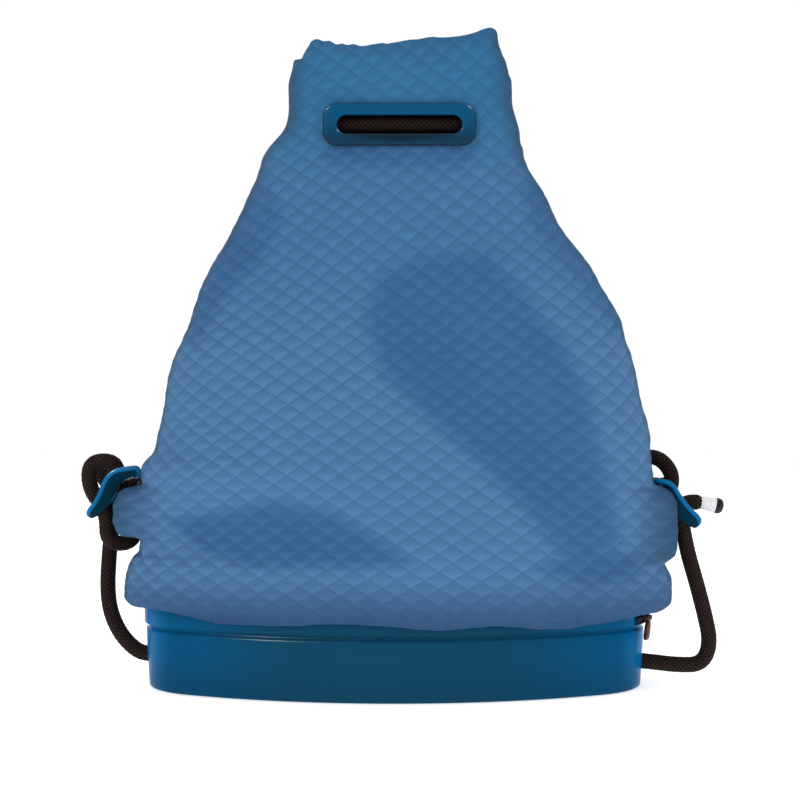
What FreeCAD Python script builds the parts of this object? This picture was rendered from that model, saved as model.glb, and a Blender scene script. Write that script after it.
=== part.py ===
import FreeCAD, Part
import math
import os
import Sketcher
from FreeCAD import Placement, Rotation, Vector

# Drawstring bucket backpack: a quilted sack on a moulded tray, closed and carried by one rope.
# Millimetres. The origin is the middle of the tray's flat underside, the front faces -Y and +Z is up.

doc = FreeCAD.newDocument("DrawstringBackpack")
sheet = doc.addObject("Spreadsheet::Sheet", "sizes")

tray_sizes = {
    "base_width": 328.0,
    "base_depth": 160.0,
    "base_end_radius": 50.0,
    "base_draft": 2.5,
    "base_wall": 3.0,
    "base_floor": 3.0,
    "base_edge_radius": 7.0,
    "groove_height": 38.5,
    "groove_width": 3.0,
    "groove_depth": 2.0,
    "groove_slope": 0.8,
    "lip_step": 1.0,
    "rim_height": 60.0,
    "rib_spacing": 44.0,
    "rib_width": 3.0,
    "rib_length": 230.0,
    "rib_top": 24.0,
    "rope_diameter": 10.0,
    "rope_hole_gap": 1.0,
    "rope_hole_height": 15.0,
    "board_thickness": 2.5,
    "board_gap": 0.8,
    "hem_ring_thickness": 2.5,
    "hem_ring_width": 9.0,
}
fabric_sizes = {
    "panel_thickness": 2.4,
    "lining_thickness": 0.8,
    "layer_gap": 0.3,
    "end_roundness_low": 0.62,
    "end_roundness_high": 0.95,
    "seam_tape_width": 14.0,
    "facing_height": 46.0,
    "tunnel_depth": 14.0,
    "tunnel_height": 34.0,
    "tunnel_wall": 0.8,
}
plate_sizes = {
    "eyelet_length": 98.0,
    "eyelet_height": 29.0,
    "eyelet_thickness": 3.2,
    "eyelet_corner_radius": 9.0,
    "eyelet_edge_radius": 1.3,
    "eyelet_slot_length": 80.0,
    "eyelet_slot_height": 12.0,
    "eyelet_level": 364.7,
    "eyelet_offset": 3.0,
    "collar_wall": 1.2,
    "backing_border": 3.0,
    "backing_thickness": 1.2,
    "seat_gap": 0.15,
    "rope_plate_depth": 30.0,
    "rope_plate_front": -10.0,
    "rope_plate_thickness": 3.2,
    "rope_plate_slot_width": 12.0,
    "plate_lip_height": 12.5,
    "rivet_lift": 3.3,
    "rivet_radius": 1.8,
    "rivet_head_radius": 3.0,
    "rivet_head_height": 1.4,
    "rivet_spacing": 18.0,
    "washer_radius": 4.2,
    "washer_thickness": 1.0,
    "cloth_gap": 0.5,
    "tab_front": 13.0,
    "tab_back": 0.5,
    "tab_edge_radius": 4.0,
    "tab_root": 16.0,
    "left_tab_level": 111.5,
    "left_tab_height": 37.0,
    "left_tab_reach": 20.5,
    "right_tab_level": 106.0,
    "right_tab_height": 50.0,
    "right_tab_reach": 16.0,
}
end_sizes = {
    "ferrule_length": 11.5,
    "ferrule_radius": 5.3,
    "ferrule_flare": 0.6,
    "ferrule_rib_count": 6,
    "ferrule_rib_height": 0.5,
    "cap_length": 5.5,
    "cap_radius": 5.6,
    "knot_radius": 10.5,
}
zip_sizes = {
    "zip_level": 46.0,
    "zip_front_margin": 22.5,
    "zip_back_margin": 3.5,
    "zip_tape_low": 4.0,
    "zip_tape_high": 11.0,
    "zip_tape_thickness": 0.8,
    "zip_coil_height": 3.0,
    "zip_coil_thickness": 2.0,
    "slider_inset_angle": 10.0,
    "slider_width": 7.0,
    "slider_height": 4.6,
    "slider_skin": 1.0,
    "slider_gap": 0.25,
    "slider_ear_width": 1.4,
    "slider_ear_reach": 2.6,
    "pull_pin_radius": 0.9,
    "pull_pin_gap": 0.06,
    "pull_length": 18.5,
    "pull_width": 7.0,
    "pull_thickness": 2.2,
    "pull_neck_width": 3.6,
}

# Each level of the sack: its height, how far it reaches left and right, and half its depth
sack_levels = {
    "hem": (48.5, 168.5, 171.5, 84.5),
    "bulge": (65.0, 178.5, 182.0, 90.0),
    "waist": (88.0, 168.5, 175.5, 91.0),
    "belly": (125.0, 165.5, 170.5, 90.0),
    "flank": (168.0, 155.5, 166.0, 85.0),
    "side": (215.0, 145.5, 155.5, 76.0),
    "shoulder": (262.0, 128.0, 135.5, 63.0),
    "slope": (310.0, 101.5, 103.5, 48.0),
    "throat": (343.0, 88.0, 87.5, 38.5),
    "neck": (366.0, 75.0, 81.5, 34.0),
    "collar": (396.0, 70.0, 77.0, 31.5),
    "mouth": (438.0, 60.0, 66.0, 27.5),
}

next_row = 1


def add_size(alias, value):
    global next_row
    sheet.set("A%d" % next_row, alias)
    sheet.set("B%d" % next_row, repr(value))
    sheet.setAlias("B%d" % next_row, alias)
    next_row += 1


for group in (tray_sizes, fabric_sizes, plate_sizes, end_sizes, zip_sizes):
    for alias, value in group.items():
        add_size(alias, value)
for level, (level_height, reach_left, reach_right, half_depth) in sack_levels.items():
    add_size(level + "_height", level_height)
    add_size(level + "_reach_left", reach_left)
    add_size(level + "_reach_right", reach_right)
    add_size(level + "_half_depth", half_depth)
doc.recompute()


def size(alias):
    return float(sheet.get(alias))


def ref(formula):
    # Puts the sheet's name before each alias in a formula
    words = []
    for word in formula.split():
        is_alias = word[0].isalpha() and not word.endswith("(")
        words.append("sizes." + word if is_alias else word)
    return " ".join(words)


nodes = {}


def keep(label, thing):
    thing.Label = label
    nodes[label] = thing
    return thing


def shape_node(label, shape):
    place = shape.Placement
    feature = doc.addObject("Part::Feature", label)
    feature.Shape = shape
    feature.Placement = place
    return keep(label, feature)


def plane_of(body, role):
    for feature in body.Origin.OriginFeatures:
        if feature.Role == role:
            return feature


def new_sketch(body, name, role="XY_Plane", height_formula=None):
    sketch = body.newObject("Sketcher::SketchObject", name)
    sketch.AttachmentSupport = [(plane_of(body, role), "")]
    sketch.MapMode = "FlatFace"
    if height_formula:
        sketch.setExpression("AttachmentOffset.Base.z", ref(height_formula))
    return sketch


def name_size(sketch, kind, arguments, name, formula):
    index = sketch.addConstraint(Sketcher.Constraint(kind, *arguments))
    sketch.renameConstraint(index, name)
    sketch.setExpression("Constraints." + name, ref(formula))


def oval_numbers(half_width, half_depth, end_radius):
    # Radius of the long front and back arcs that touch the two end arcs
    reach = half_width - end_radius
    long_radius = (reach ** 2 + half_depth ** 2 - end_radius ** 2) / (2 * (half_depth - end_radius))
    return reach, long_radius


def oval_sketch(body, name, height_formula, inset_formula, inset):
    # A tray outline: two long arcs joined by two end arcs, all tangent, drawn at its inset from the start
    sketch = new_sketch(body, name, "XY_Plane", height_formula)
    half_width = "( base_width / 2 - ( " + inset_formula + " ) )"
    half_depth = "( base_depth / 2 - ( " + inset_formula + " ) )"
    end_radius = "( base_end_radius - ( " + inset_formula + " ) )"
    start_width = size("base_width") / 2 - inset
    start_depth = size("base_depth") / 2 - inset
    start_radius = size("base_end_radius") - inset
    reach, long_radius = oval_numbers(start_width, start_depth, start_radius)
    drop = long_radius - start_depth
    turn = math.atan2(drop, reach)
    up = Vector(0, 0, 1)
    right = Part.ArcOfCircle(Part.Circle(Vector(reach, 0, 0), up, start_radius), -turn, turn)
    back = Part.ArcOfCircle(Part.Circle(Vector(0, -drop, 0), up, long_radius), turn, math.pi - turn)
    left = Part.ArcOfCircle(Part.Circle(Vector(-reach, 0, 0), up, start_radius),
                            math.pi - turn, math.pi + turn)
    front = Part.ArcOfCircle(Part.Circle(Vector(0, drop, 0), up, long_radius),
                             math.pi + turn, 2 * math.pi - turn)
    for arc in (right, back, left, front):
        sketch.addGeometry(arc, False)
    start, end, centre = 1, 2, 3
    sketch.addConstraint(Sketcher.Constraint("Tangent", 0, end, 1, start))
    sketch.addConstraint(Sketcher.Constraint("Coincident", 1, end, 2, start))
    sketch.addConstraint(Sketcher.Constraint("Coincident", 2, end, 3, start))
    sketch.addConstraint(Sketcher.Constraint("Coincident", 3, end, 0, start))
    sketch.addConstraint(Sketcher.Constraint("Symmetric", 0, start, 0, end, -1))
    sketch.addConstraint(Sketcher.Constraint("Symmetric", 2, start, 2, end, -1))
    sketch.addConstraint(Sketcher.Constraint("Symmetric", 1, start, 1, end, -2))
    sketch.addConstraint(Sketcher.Constraint("Equal", 0, 2))
    sketch.addConstraint(Sketcher.Constraint("Equal", 1, 3))
    name_size(sketch, "DistanceX", (-1, 1, 0, centre, reach), "end_centre", half_width + " - " + end_radius)
    name_size(sketch, "Radius", (0, start_radius), "end_arc", end_radius)
    formula = ("( ( " + half_width + " - " + end_radius + " ) ^ 2 + " + half_depth + " ^ 2 - " + end_radius
               + " ^ 2 ) / ( 2 * ( " + half_depth + " - " + end_radius + " ) )")
    name_size(sketch, "Radius", (1, long_radius), "long_arc", formula)
    return sketch


def rectangle_sketch(body, name, role, width_formula, height_formula, width, height):
    sketch = new_sketch(body, name, role)
    corners = [Vector(-width / 2, -height / 2, 0), Vector(width / 2, -height / 2, 0),
               Vector(width / 2, height / 2, 0), Vector(-width / 2, height / 2, 0)]
    for index in range(4):
        sketch.addGeometry(Part.LineSegment(corners[index], corners[(index + 1) % 4]), False)
    for index in range(4):
        sketch.addConstraint(Sketcher.Constraint("Coincident", index, 2, (index + 1) % 4, 1))
    sketch.addConstraint(Sketcher.Constraint("Horizontal", 0))
    sketch.addConstraint(Sketcher.Constraint("Horizontal", 2))
    sketch.addConstraint(Sketcher.Constraint("Vertical", 1))
    sketch.addConstraint(Sketcher.Constraint("Vertical", 3))
    sketch.addConstraint(Sketcher.Constraint("Symmetric", 0, 1, 2, 1, -1, 1))
    name_size(sketch, "DistanceX", (0, 1, 0, 2, width), "width", width_formula)
    name_size(sketch, "DistanceY", (1, 1, 1, 2, height), "height", height_formula)
    return sketch


def slot_sketch(body, name, role, length_formula, width_formula, length, width):
    # A stadium: two lines and two half circles
    sketch = new_sketch(body, name, role)
    radius = width / 2
    reach = length / 2 - radius
    up = Vector(0, 0, 1)
    sketch.addGeometry(Part.LineSegment(Vector(-reach, radius, 0), Vector(reach, radius, 0)), False)
    right = Part.ArcOfCircle(Part.Circle(Vector(reach, 0, 0), up, radius), -math.pi / 2, math.pi / 2)
    sketch.addGeometry(right, False)
    sketch.addGeometry(Part.LineSegment(Vector(reach, -radius, 0), Vector(-reach, -radius, 0)), False)
    left = Part.ArcOfCircle(Part.Circle(Vector(-reach, 0, 0), up, radius), math.pi / 2, 3 * math.pi / 2)
    sketch.addGeometry(left, False)
    sketch.addConstraint(Sketcher.Constraint("Tangent", 0, 2, 1, 2))
    sketch.addConstraint(Sketcher.Constraint("Tangent", 1, 1, 2, 1))
    sketch.addConstraint(Sketcher.Constraint("Tangent", 2, 2, 3, 2))
    sketch.addConstraint(Sketcher.Constraint("Tangent", 3, 1, 0, 1))
    sketch.addConstraint(Sketcher.Constraint("Equal", 1, 3))
    sketch.addConstraint(Sketcher.Constraint("Horizontal", 0))
    sketch.addConstraint(Sketcher.Constraint("Symmetric", 1, 3, 3, 3, -1, 1))
    reach_formula = "( " + length_formula + " ) - ( " + width_formula + " )"
    name_size(sketch, "DistanceX", (3, 3, 1, 3, 2 * reach), "centres", reach_formula)
    name_size(sketch, "Radius", (1, radius), "end_arc", "( " + width_formula + " ) / 2")
    return sketch


def pad(body, sketch, name, length_formula, reverse=False):
    feature = body.newObject("PartDesign::Pad", name)
    feature.Profile = sketch
    feature.Reversed = reverse
    feature.setExpression("Length", ref(length_formula))
    return feature


def pocket(body, sketch, name, length_formula=None, reverse=False):
    feature = body.newObject("PartDesign::Pocket", name)
    feature.Profile = sketch
    feature.Reversed = reverse
    if length_formula:
        feature.setExpression("Length", ref(length_formula))
    else:
        feature.Type = "ThroughAll"
        feature.Midplane = True
    return feature


def edge_names(shape, test):
    return ["Edge%d" % (number + 1) for number, edge in enumerate(shape.Edges) if test(edge)]


def fillet(body, base, name, radius_formula, test):
    doc.recompute()
    feature = body.newObject("PartDesign::Fillet", name)
    feature.Base = (base, edge_names(base.Shape, test))
    feature.setExpression("Radius", ref(radius_formula))
    return feature


# The tray: drafted wall, a groove under the lip, a hollow for the rope and two ribs under the floor board

half_width = size("base_width") / 2
half_depth = size("base_depth") / 2
end_radius = size("base_end_radius")

tray = doc.addObject("PartDesign::Body", "base_tray")
groove_top = "groove_height + groove_width"
base_draft = size("base_draft")
tray_levels = []
for turn in (0, 30, 60, 90):
    edge_height = "base_edge_radius * ( 1 - cos( %d ) )" % turn
    edge_inset = "base_edge_radius * ( 1 - sin( %d ) )" % turn
    wall_inset = "base_draft * ( 1 - " + edge_height + " / groove_height )"
    rise = size("base_edge_radius") * (1 - math.cos(math.radians(turn)))
    inset = base_draft * (1 - rise / size("groove_height"))
    inset += size("base_edge_radius") * (1 - math.sin(math.radians(turn)))
    tray_levels.append((edge_height, wall_inset + " + " + edge_inset, inset))
tray_levels.append(("groove_height", "base_draft - base_draft", 0.0))
tray_levels.append(("groove_height + groove_slope", "groove_depth", size("groove_depth")))
tray_levels.append((groove_top + " - groove_slope", "groove_depth", size("groove_depth")))
tray_levels.append((groove_top, "0 - lip_step", -size("lip_step")))
tray_levels.append(("rim_height", "0 - lip_step", -size("lip_step")))
tray_sketches = []
for number, (height_formula, inset_formula, inset) in enumerate(tray_levels):
    tray_sketches.append(oval_sketch(tray, "tray_level_%d" % number, height_formula, inset_formula, inset))
doc.recompute()
tray_wall = tray.newObject("PartDesign::AdditiveLoft", "tray_wall")
tray_wall.Profile = tray_sketches[0]
tray_wall.Sections = tray_sketches[1:]
tray_wall.Ruled = True
doc.recompute()
hollow_formula = "base_wall + base_draft"
hollow_inset = size("base_wall") + base_draft
hollow_sketch = oval_sketch(tray, "tray_hollow_outline", "rim_height", hollow_formula, hollow_inset)
hollow = pocket(tray, hollow_sketch, "tray_hollow", "rim_height - base_floor")
rope_hole_sketch = new_sketch(tray, "tray_rope_hole_outline", "YZ_Plane")
rope_hole_sketch.addGeometry(Part.Circle(Vector(0, 15, 0), Vector(0, 0, 1), 6), False)
rope_hole_sketch.addConstraint(Sketcher.Constraint("PointOnObject", 0, 3, -2))
name_size(rope_hole_sketch, "DistanceY", (-1, 1, 0, 3, 15), "centre", "rope_hole_height")
name_size(rope_hole_sketch, "Radius", (0, 6), "hole", "rope_diameter / 2 + rope_hole_gap")
rope_hole = pocket(tray, rope_hole_sketch, "tray_rope_holes")
doc.recompute()
rib_sketch = new_sketch(tray, "tray_rib_outline", "XY_Plane", "base_floor")
rib_x = size("rib_length") / 2
for number, side in enumerate((1, -1)):
    low = side * size("rib_spacing") / 2
    high = low + size("rib_width")
    corners = [Vector(-rib_x, low, 0), Vector(rib_x, low, 0), Vector(rib_x, high, 0), Vector(-rib_x, high, 0)]
    first = 4 * number
    for index in range(4):
        rib_sketch.addGeometry(Part.LineSegment(corners[index], corners[(index + 1) % 4]), False)
    for index in range(4):
        rib_sketch.addConstraint(Sketcher.Constraint("Coincident", first + index, 2, first + (index + 1) % 4, 1))
    rib_sketch.addConstraint(Sketcher.Constraint("Horizontal", first + 2))
    rib_sketch.addConstraint(Sketcher.Constraint("Vertical", first + 1))
    rib_sketch.addConstraint(Sketcher.Constraint("Vertical", first + 3))
    rib_sketch.addConstraint(Sketcher.Constraint("Symmetric", first, 1, first, 2, -2))
    name_size(rib_sketch, "DistanceX", (first, 1, first, 2, 2 * rib_x), "length_%d" % number, "rib_length")
    name_size(rib_sketch, "DistanceY", (first + 1, 1, first + 1, 2, size("rib_width")),
              "width_%d" % number, "rib_width")
name_size(rib_sketch, "DistanceY", (-1, 1, 0, 1, size("rib_spacing") / 2), "back_rib",
          "( rib_spacing - rib_width ) / 2")
name_size(rib_sketch, "DistanceY", (4, 1, -1, 1, size("rib_spacing") / 2), "front_rib",
          "( rib_spacing + rib_width ) / 2")
rib_pad = pad(tray, rib_sketch, "tray_ribs", "rib_top - base_floor")
tray.Tip = rib_pad
keep("base_tray", tray)
doc.recompute()

board = doc.addObject("PartDesign::Body", "floor_board")
board_sketch = oval_sketch(board, "board_outline", "rib_top", hollow_formula + " + board_gap",
                           hollow_inset + size("board_gap"))
pad(board, board_sketch, "board_sheet", "board_thickness")
keep("floor_board", board)


# The sack's levels as numbers, with the end arcs rounder towards the neck

def read_levels():
    low = size("hem_height")
    high = size("neck_height")
    found = []
    for level in sack_levels:
        level_height = size(level + "_height")
        reach_left = size(level + "_reach_left")
        reach_right = size(level + "_reach_right")
        half = size(level + "_half_depth")
        share = min(1.0, (level_height - low) / (high - low))
        roundness = size("end_roundness_low") + share * (size("end_roundness_high")
                                                        - size("end_roundness_low"))
        middle = (reach_right - reach_left) / 2
        found.append((level_height, middle, (reach_left + reach_right) / 2, half, half * roundness))
    return found


levels = read_levels()


def arc_points(level, inset, side):
    # Corner, middle and tangent points of one half of a level's outline, set in by inset
    level_height, middle, half_wide, half_deep, radius = level
    reach, long_radius = oval_numbers(half_wide, half_deep, radius)
    drop = long_radius - half_deep
    turn = math.atan2(drop, reach)
    small = radius - inset
    large = long_radius - inset

    def on_end(sign, angle):
        return Vector(middle + sign * (reach + small * math.cos(angle)), side * small * math.sin(angle),
                      level_height)

    def on_long(angle):
        return Vector(middle + large * math.cos(angle), side * (large * math.sin(angle) - drop), level_height)

    return [on_end(-1, 0), on_end(-1, turn / 2), on_end(-1, turn), on_long(math.pi / 2), on_end(1, turn),
            on_end(1, turn / 2), on_end(1, 0)]


def arcs_through(points):
    return [Part.Arc(points[index], points[index + 1], points[index + 2]).toShape()
            for index in range(0, len(points) - 2, 2)]


def half_wire(level, side, outer_inset, inner_inset):
    outer = arc_points(level, outer_inset, side)
    inner = arc_points(level, inner_inset, side)
    inner.reverse()
    edges = arcs_through(outer)
    edges.append(Part.makeLine(outer[-1], inner[0]))
    edges += arcs_through(inner)
    edges.append(Part.makeLine(inner[-1], outer[0]))
    return Part.Wire(edges)


def full_wire(level, inset):
    front = arc_points(level, inset, -1)
    back = arc_points(level, inset, 1)
    back.reverse()
    return Part.Wire(arcs_through(front) + arcs_through(back))


def half_shell(side, outer_inset, inner_inset):
    return Part.makeLoft([half_wire(level, side, outer_inset, inner_inset) for level in levels], True, False)


def full_core(inset):
    return Part.makeLoft([full_wire(level, inset) for level in levels], True, False)


def slab(low, high):
    reach = 2 * size("base_width")
    return Part.makeBox(2 * reach, 2 * reach, high - low, Vector(-reach, -reach, low))


def middle_band(width):
    reach = 2 * size("base_width")
    return Part.makeBox(2 * reach, width, 2 * reach, Vector(-reach, -width / 2, 0))


panel_thickness = size("panel_thickness")
lining_outer = panel_thickness + size("layer_gap")
lining_inner = lining_outer + size("lining_thickness")
inner_layer = lining_inner + size("layer_gap")
rim_height = size("rim_height")
ring_top = rim_height + size("hem_ring_thickness")
lining_foot = ring_top + size("layer_gap")
mouth_height = size("mouth_height")
facing_foot = mouth_height - size("facing_height") - size("layer_gap")

eyelet_level = size("eyelet_level")
tunnel_low = eyelet_level - size("tunnel_height") / 2
tunnel_high = eyelet_level + size("tunnel_height") / 2
rope_radius = size("rope_diameter") / 2

# The sack's top edge, left to right, as the front view shows it: distance from the middle, drop below the mouth
top_edge = [(-90, 40), (-68, 33), (-62, 20), (-54, 15.5), (-40, 20.5), (-8, 22), (22, 17.5), (45, 13.5),
            (57, 7), (64, 5.5), (70, 14), (78, 34), (95, 40)]


def above_top_edge(drop):
    # Everything over the top edge, lowered by drop
    curve = Part.BSplineCurve()
    points = [Vector(x, 0, mouth_height - below - drop) for x, below in top_edge]
    curve.interpolate(points)
    ceiling = mouth_height + 30
    corners = [points[-1], Vector(points[-1].x, 0, ceiling), Vector(points[0].x, 0, ceiling), points[0]]
    edges = [curve.toShape()]
    edges += [Part.makeLine(corners[index], corners[index + 1]) for index in range(3)]
    reach = size("base_depth")
    face = Part.Face(Part.Wire(edges))
    face.translate(Vector(0, -reach, 0))
    return face.extrude(Vector(0, 2 * reach, 0))


front_shell = half_shell(-1, 0, panel_thickness)
back_shell = half_shell(1, 0, panel_thickness)
sack_core = full_core(0)
print("shells valid", front_shell.isValid(), back_shell.isValid(), sack_core.isValid())


# Where a plate lies flat against the sack: its placement and how far the cloth reaches in and out of it

def wall_crossings(shell, x, z, direction):
    reach = size("base_depth")
    start = Vector(x, -reach, z) if direction == "y" else Vector(-2 * reach, x, z)
    step = Vector(0, 2 * reach, 0) if direction == "y" else Vector(4 * reach, 0, 0)
    cut = shell.common(Part.makeLine(start, start + step))
    return sorted(((vertex.X, vertex.Y, vertex.Z) for vertex in cut.Vertexes),
                  key=lambda point: point[1] if direction == "y" else point[0])


def plate_seat(shell, side):
    middle = size("eyelet_offset")
    half_high = size("eyelet_height") / 2
    outer = 0 if side < 0 else -1
    inner = -1 if side < 0 else 0
    low = wall_crossings(shell, middle, eyelet_level - half_high, "y")[outer][1]
    high = wall_crossings(shell, middle, eyelet_level + half_high, "y")[outer][1]
    centre = (low + high) / 2
    tilt = math.degrees(math.atan2(abs(low - high), 2 * half_high))
    facing_out = Rotation(Vector(1, 0, 0), 90 - tilt)
    if side > 0:
        facing_out = Rotation(Vector(0, 0, 1), 180).multiply(facing_out)
    placement = Placement(Vector(middle, centre, eyelet_level), facing_out)
    rise, sink = -1e6, 1e6
    for share_x in (-1, -0.5, 0, 0.5, 1):
        for share_z in (-0.9, 0, 0.9):
            x = middle + share_x * size("eyelet_length") / 2
            z = eyelet_level + share_z * half_high
            points = wall_crossings(shell, x, z, "y")
            rise = max(rise, placement.inverse().multVec(Vector(*points[outer])).z)
            sink = min(sink, placement.inverse().multVec(Vector(*points[inner])).z)
    seat = Placement(placement.multVec(Vector(0, 0, rise + size("seat_gap"))), facing_out)
    return seat, rise + size("seat_gap") - sink + size("seat_gap")


def stadium_prism(length, width, low, high, placement):
    radius = width / 2
    reach = length / 2 - radius
    prism = Part.makeBox(2 * reach, width, high - low, Vector(-reach, -radius, low))
    for end in (-reach, reach):
        prism = prism.fuse(Part.makeCylinder(radius, high - low, Vector(end, 0, low)))
    prism.Placement = placement
    return prism.removeSplitter()


def eyelet_plate(label, seat, stack):
    body = doc.addObject("PartDesign::Body", label)
    face = rectangle_sketch(body, label + "_outline", "XY_Plane", "eyelet_length", "eyelet_height",
                            size("eyelet_length"), size("eyelet_height"))
    plate = pad(body, face, label + "_plate", "eyelet_thickness")
    corners = fillet(body, plate, label + "_corners", "eyelet_corner_radius",
                     lambda edge: abs(edge.tangentAt(edge.FirstParameter).z) > 0.9)
    thick = size("eyelet_thickness")
    rim = fillet(body, corners, label + "_rim", "eyelet_edge_radius",
                 lambda edge: edge.BoundBox.ZMin > thick - 0.01)
    collar_formula = " + 2 * collar_wall"
    collar = slot_sketch(body, label + "_collar_outline", "XY_Plane", "eyelet_slot_length" + collar_formula,
                         "eyelet_slot_height" + collar_formula,
                         size("eyelet_slot_length") + 2 * size("collar_wall"),
                         size("eyelet_slot_height") + 2 * size("collar_wall"))
    collar_pad = body.newObject("PartDesign::Pad", label + "_collar")
    collar_pad.Profile = collar
    collar_pad.Reversed = True
    collar_pad.Length = stack + size("backing_thickness")
    slot = slot_sketch(body, label + "_slot_outline", "XY_Plane", "eyelet_slot_length",
                       "eyelet_slot_height", size("eyelet_slot_length"), size("eyelet_slot_height"))
    body.Tip = pocket(body, slot, label + "_slot")
    body.Placement = seat
    return keep(label, body)


def eyelet_backing(label, seat, stack):
    body = doc.addObject("PartDesign::Body", label)
    grown = " + 2 * collar_wall + 2 * backing_border"
    face = slot_sketch(body, label + "_outline", "XY_Plane", "eyelet_slot_length" + grown,
                       "eyelet_slot_height" + grown,
                       size("eyelet_slot_length") + 2 * (size("collar_wall") + size("backing_border")),
                       size("eyelet_slot_height") + 2 * (size("collar_wall") + size("backing_border")))
    pad(body, face, label + "_plate", "backing_thickness")
    hole_grown = " + 2 * collar_wall + 2 * seat_gap"
    hole = slot_sketch(body, label + "_hole_outline", "XY_Plane", "eyelet_slot_length" + hole_grown,
                       "eyelet_slot_height" + hole_grown,
                       size("eyelet_slot_length") + 2 * (size("collar_wall") + size("seat_gap")),
                       size("eyelet_slot_height") + 2 * (size("collar_wall") + size("seat_gap")))
    body.Tip = pocket(body, hole, label + "_hole")
    back = Placement(seat.multVec(Vector(0, 0, -stack - size("backing_thickness"))), seat.Rotation)
    body.Placement = back
    return keep(label, body)


front_seat, front_stack = plate_seat(front_shell, -1)
back_seat, back_stack = plate_seat(back_shell, 1)
print("plate seats", front_seat, round(front_stack, 2), back_seat, round(back_stack, 2))
eyelet_plate("front_eyelet_plate", front_seat, front_stack)
eyelet_plate("back_eyelet_plate", back_seat, back_stack)
eyelet_backing("front_eyelet_backing", front_seat, front_stack)
eyelet_backing("back_eyelet_backing", back_seat, back_stack)

# Holes through the cloth for each plate's collar, and wider windows in the layers behind for its backing
collar_length = size("eyelet_slot_length") + 2 * (size("collar_wall") + size("seat_gap"))
collar_height = size("eyelet_slot_height") + 2 * (size("collar_wall") + size("seat_gap"))
window_border = 2 * (size("backing_border") + 1)
depth_reach = size("neck_half_depth")
collar_holes = {}
windows = {}
for side, seat in ((-1, front_seat), (1, back_seat)):
    collar_holes[side] = stadium_prism(collar_length, collar_height, -depth_reach / 2, 5, seat)
    windows[side] = stadium_prism(collar_length + window_border, collar_height + window_border,
                                  -depth_reach / 2, 5, seat)

# The side tabs: padded lobes of the front panel's cloth on which the rope plates sit


def side_edge(side, level):
    # How far out the cloth reaches at the side, at a height
    crossings = wall_crossings(front_shell, -0.01, level, "x")
    return crossings[0][0] if side < 0 else crossings[-1][0]


def rounded_outline(points, radius):
    # A closed outline in the XZ plane with every corner rounded
    edges = []
    count = len(points)
    corners = []
    for index in range(count):
        corner = points[index]
        before = (points[index - 1] - corner).normalize()
        after = (points[(index + 1) % count] - corner).normalize()
        half = before.getAngle(after) / 2
        reach = radius / math.tan(half)
        middle = corner + (before + after).normalize() * (radius / math.sin(half) - radius)
        corners.append((corner + before * reach, middle, corner + after * reach))
    for index in range(count):
        first, middle, last = corners[index]
        edges.append(Part.Arc(first, middle, last).toShape())
        edges.append(Part.makeLine(last, corners[(index + 1) % count][0]))
    return Part.Wire(edges)


def side_tab(side, level, height, reach, corner_radius):
    edge = side_edge(side, level)
    root = edge - side * size("tab_root")
    points = [(root, level + height / 2), (edge + side * 0.76 * reach, level + height / 2),
              (edge + side * reach, level), (edge + side * 0.93 * reach, level - height / 2),
              (root, level - height / 2)]
    outline = rounded_outline([Vector(x, -size("tab_front"), z) for x, z in points], corner_radius)
    block = Part.Face(outline).extrude(Vector(0, size("tab_front") - size("tab_back"), 0))
    rims = [edge for edge in block.Edges if edge.BoundBox.YLength < 0.01]
    block = block.makeFillet(size("tab_edge_radius"), rims)
    outside = block.cut(tab_core)
    return max(outside.Solids, key=lambda solid: solid.Volume)


tab_core = full_core(-size("layer_gap"))
left_level = size("left_tab_level")
right_level = size("right_tab_level")
tab_corner = size("tab_edge_radius") + 3
left_tab = side_tab(-1, left_level, size("left_tab_height"), size("left_tab_reach"), tab_corner)
right_tab = side_tab(1, right_level, size("right_tab_height"), size("right_tab_reach"), tab_corner)
left_tab_top = left_level + size("left_tab_height") / 2
right_tab_top = right_level + size("right_tab_height") / 2

# The rope plates: bent strips with a slot, over the tabs


def bent_path(points):
    # Straight runs joined by tangent arcs: the wire and each arc's radius
    edges = []
    start = points[0]
    radii = []
    for index in range(1, len(points) - 1):
        corner = points[index]
        before = points[index - 1] - corner
        after = points[index + 1] - corner
        half_turn = (math.pi - before.getAngle(after)) / 2
        reach = 0.45 * min(before.Length, after.Length)
        radius = reach / math.tan(half_turn)
        radii.append(radius)
        before.normalize()
        after.normalize()
        first = corner + before * reach
        last = corner + after * reach
        middle = corner + (before + after).normalize() * (radius / math.cos(half_turn) - radius)
        edges.append(Part.makeLine(start, first))
        edges.append(Part.Arc(first, middle, last).toShape())
        start = last
    edges.append(Part.makeLine(start, points[-1]))
    return Part.Wire(edges), radii


plate_front = size("rope_plate_front")
plate_depth = size("rope_plate_depth")
plate_thickness = size("rope_plate_thickness")
plate_middle = plate_front + plate_depth / 2


def rope_plate(points, slot_from, slot_to):
    # A strip swept along its side profile, with a slot between two points of that profile
    path = bent_path([Vector(x, plate_front, z) for x, z in points])[0]
    start = path.Edges[0]
    along = start.tangentAt(start.FirstParameter)
    across = Vector(-along.z, 0, along.x) * (plate_thickness / 2)
    first = Vector(points[0][0], plate_front, points[0][1])
    wide = Vector(0, plate_depth, 0)
    profile = Part.makePolygon([first + across, first - across, first - across + wide, first + across + wide,
                                first + across])
    strip = path.makePipeShell([profile], True, True)
    slot_width = size("rope_plate_slot_width")
    run = Vector(slot_to[0] - slot_from[0], 0, slot_to[1] - slot_from[1])
    angle = math.degrees(math.atan2(run.z, run.x))
    centre = Vector((slot_from[0] + slot_to[0]) / 2, plate_middle, (slot_from[1] + slot_to[1]) / 2)
    place = Placement(centre, Rotation(Vector(0, 1, 0), -angle))
    depth = 1.5 * slot_width
    return strip.cut(stadium_prism(run.Length + slot_width, slot_width, -depth, depth, place))


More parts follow.
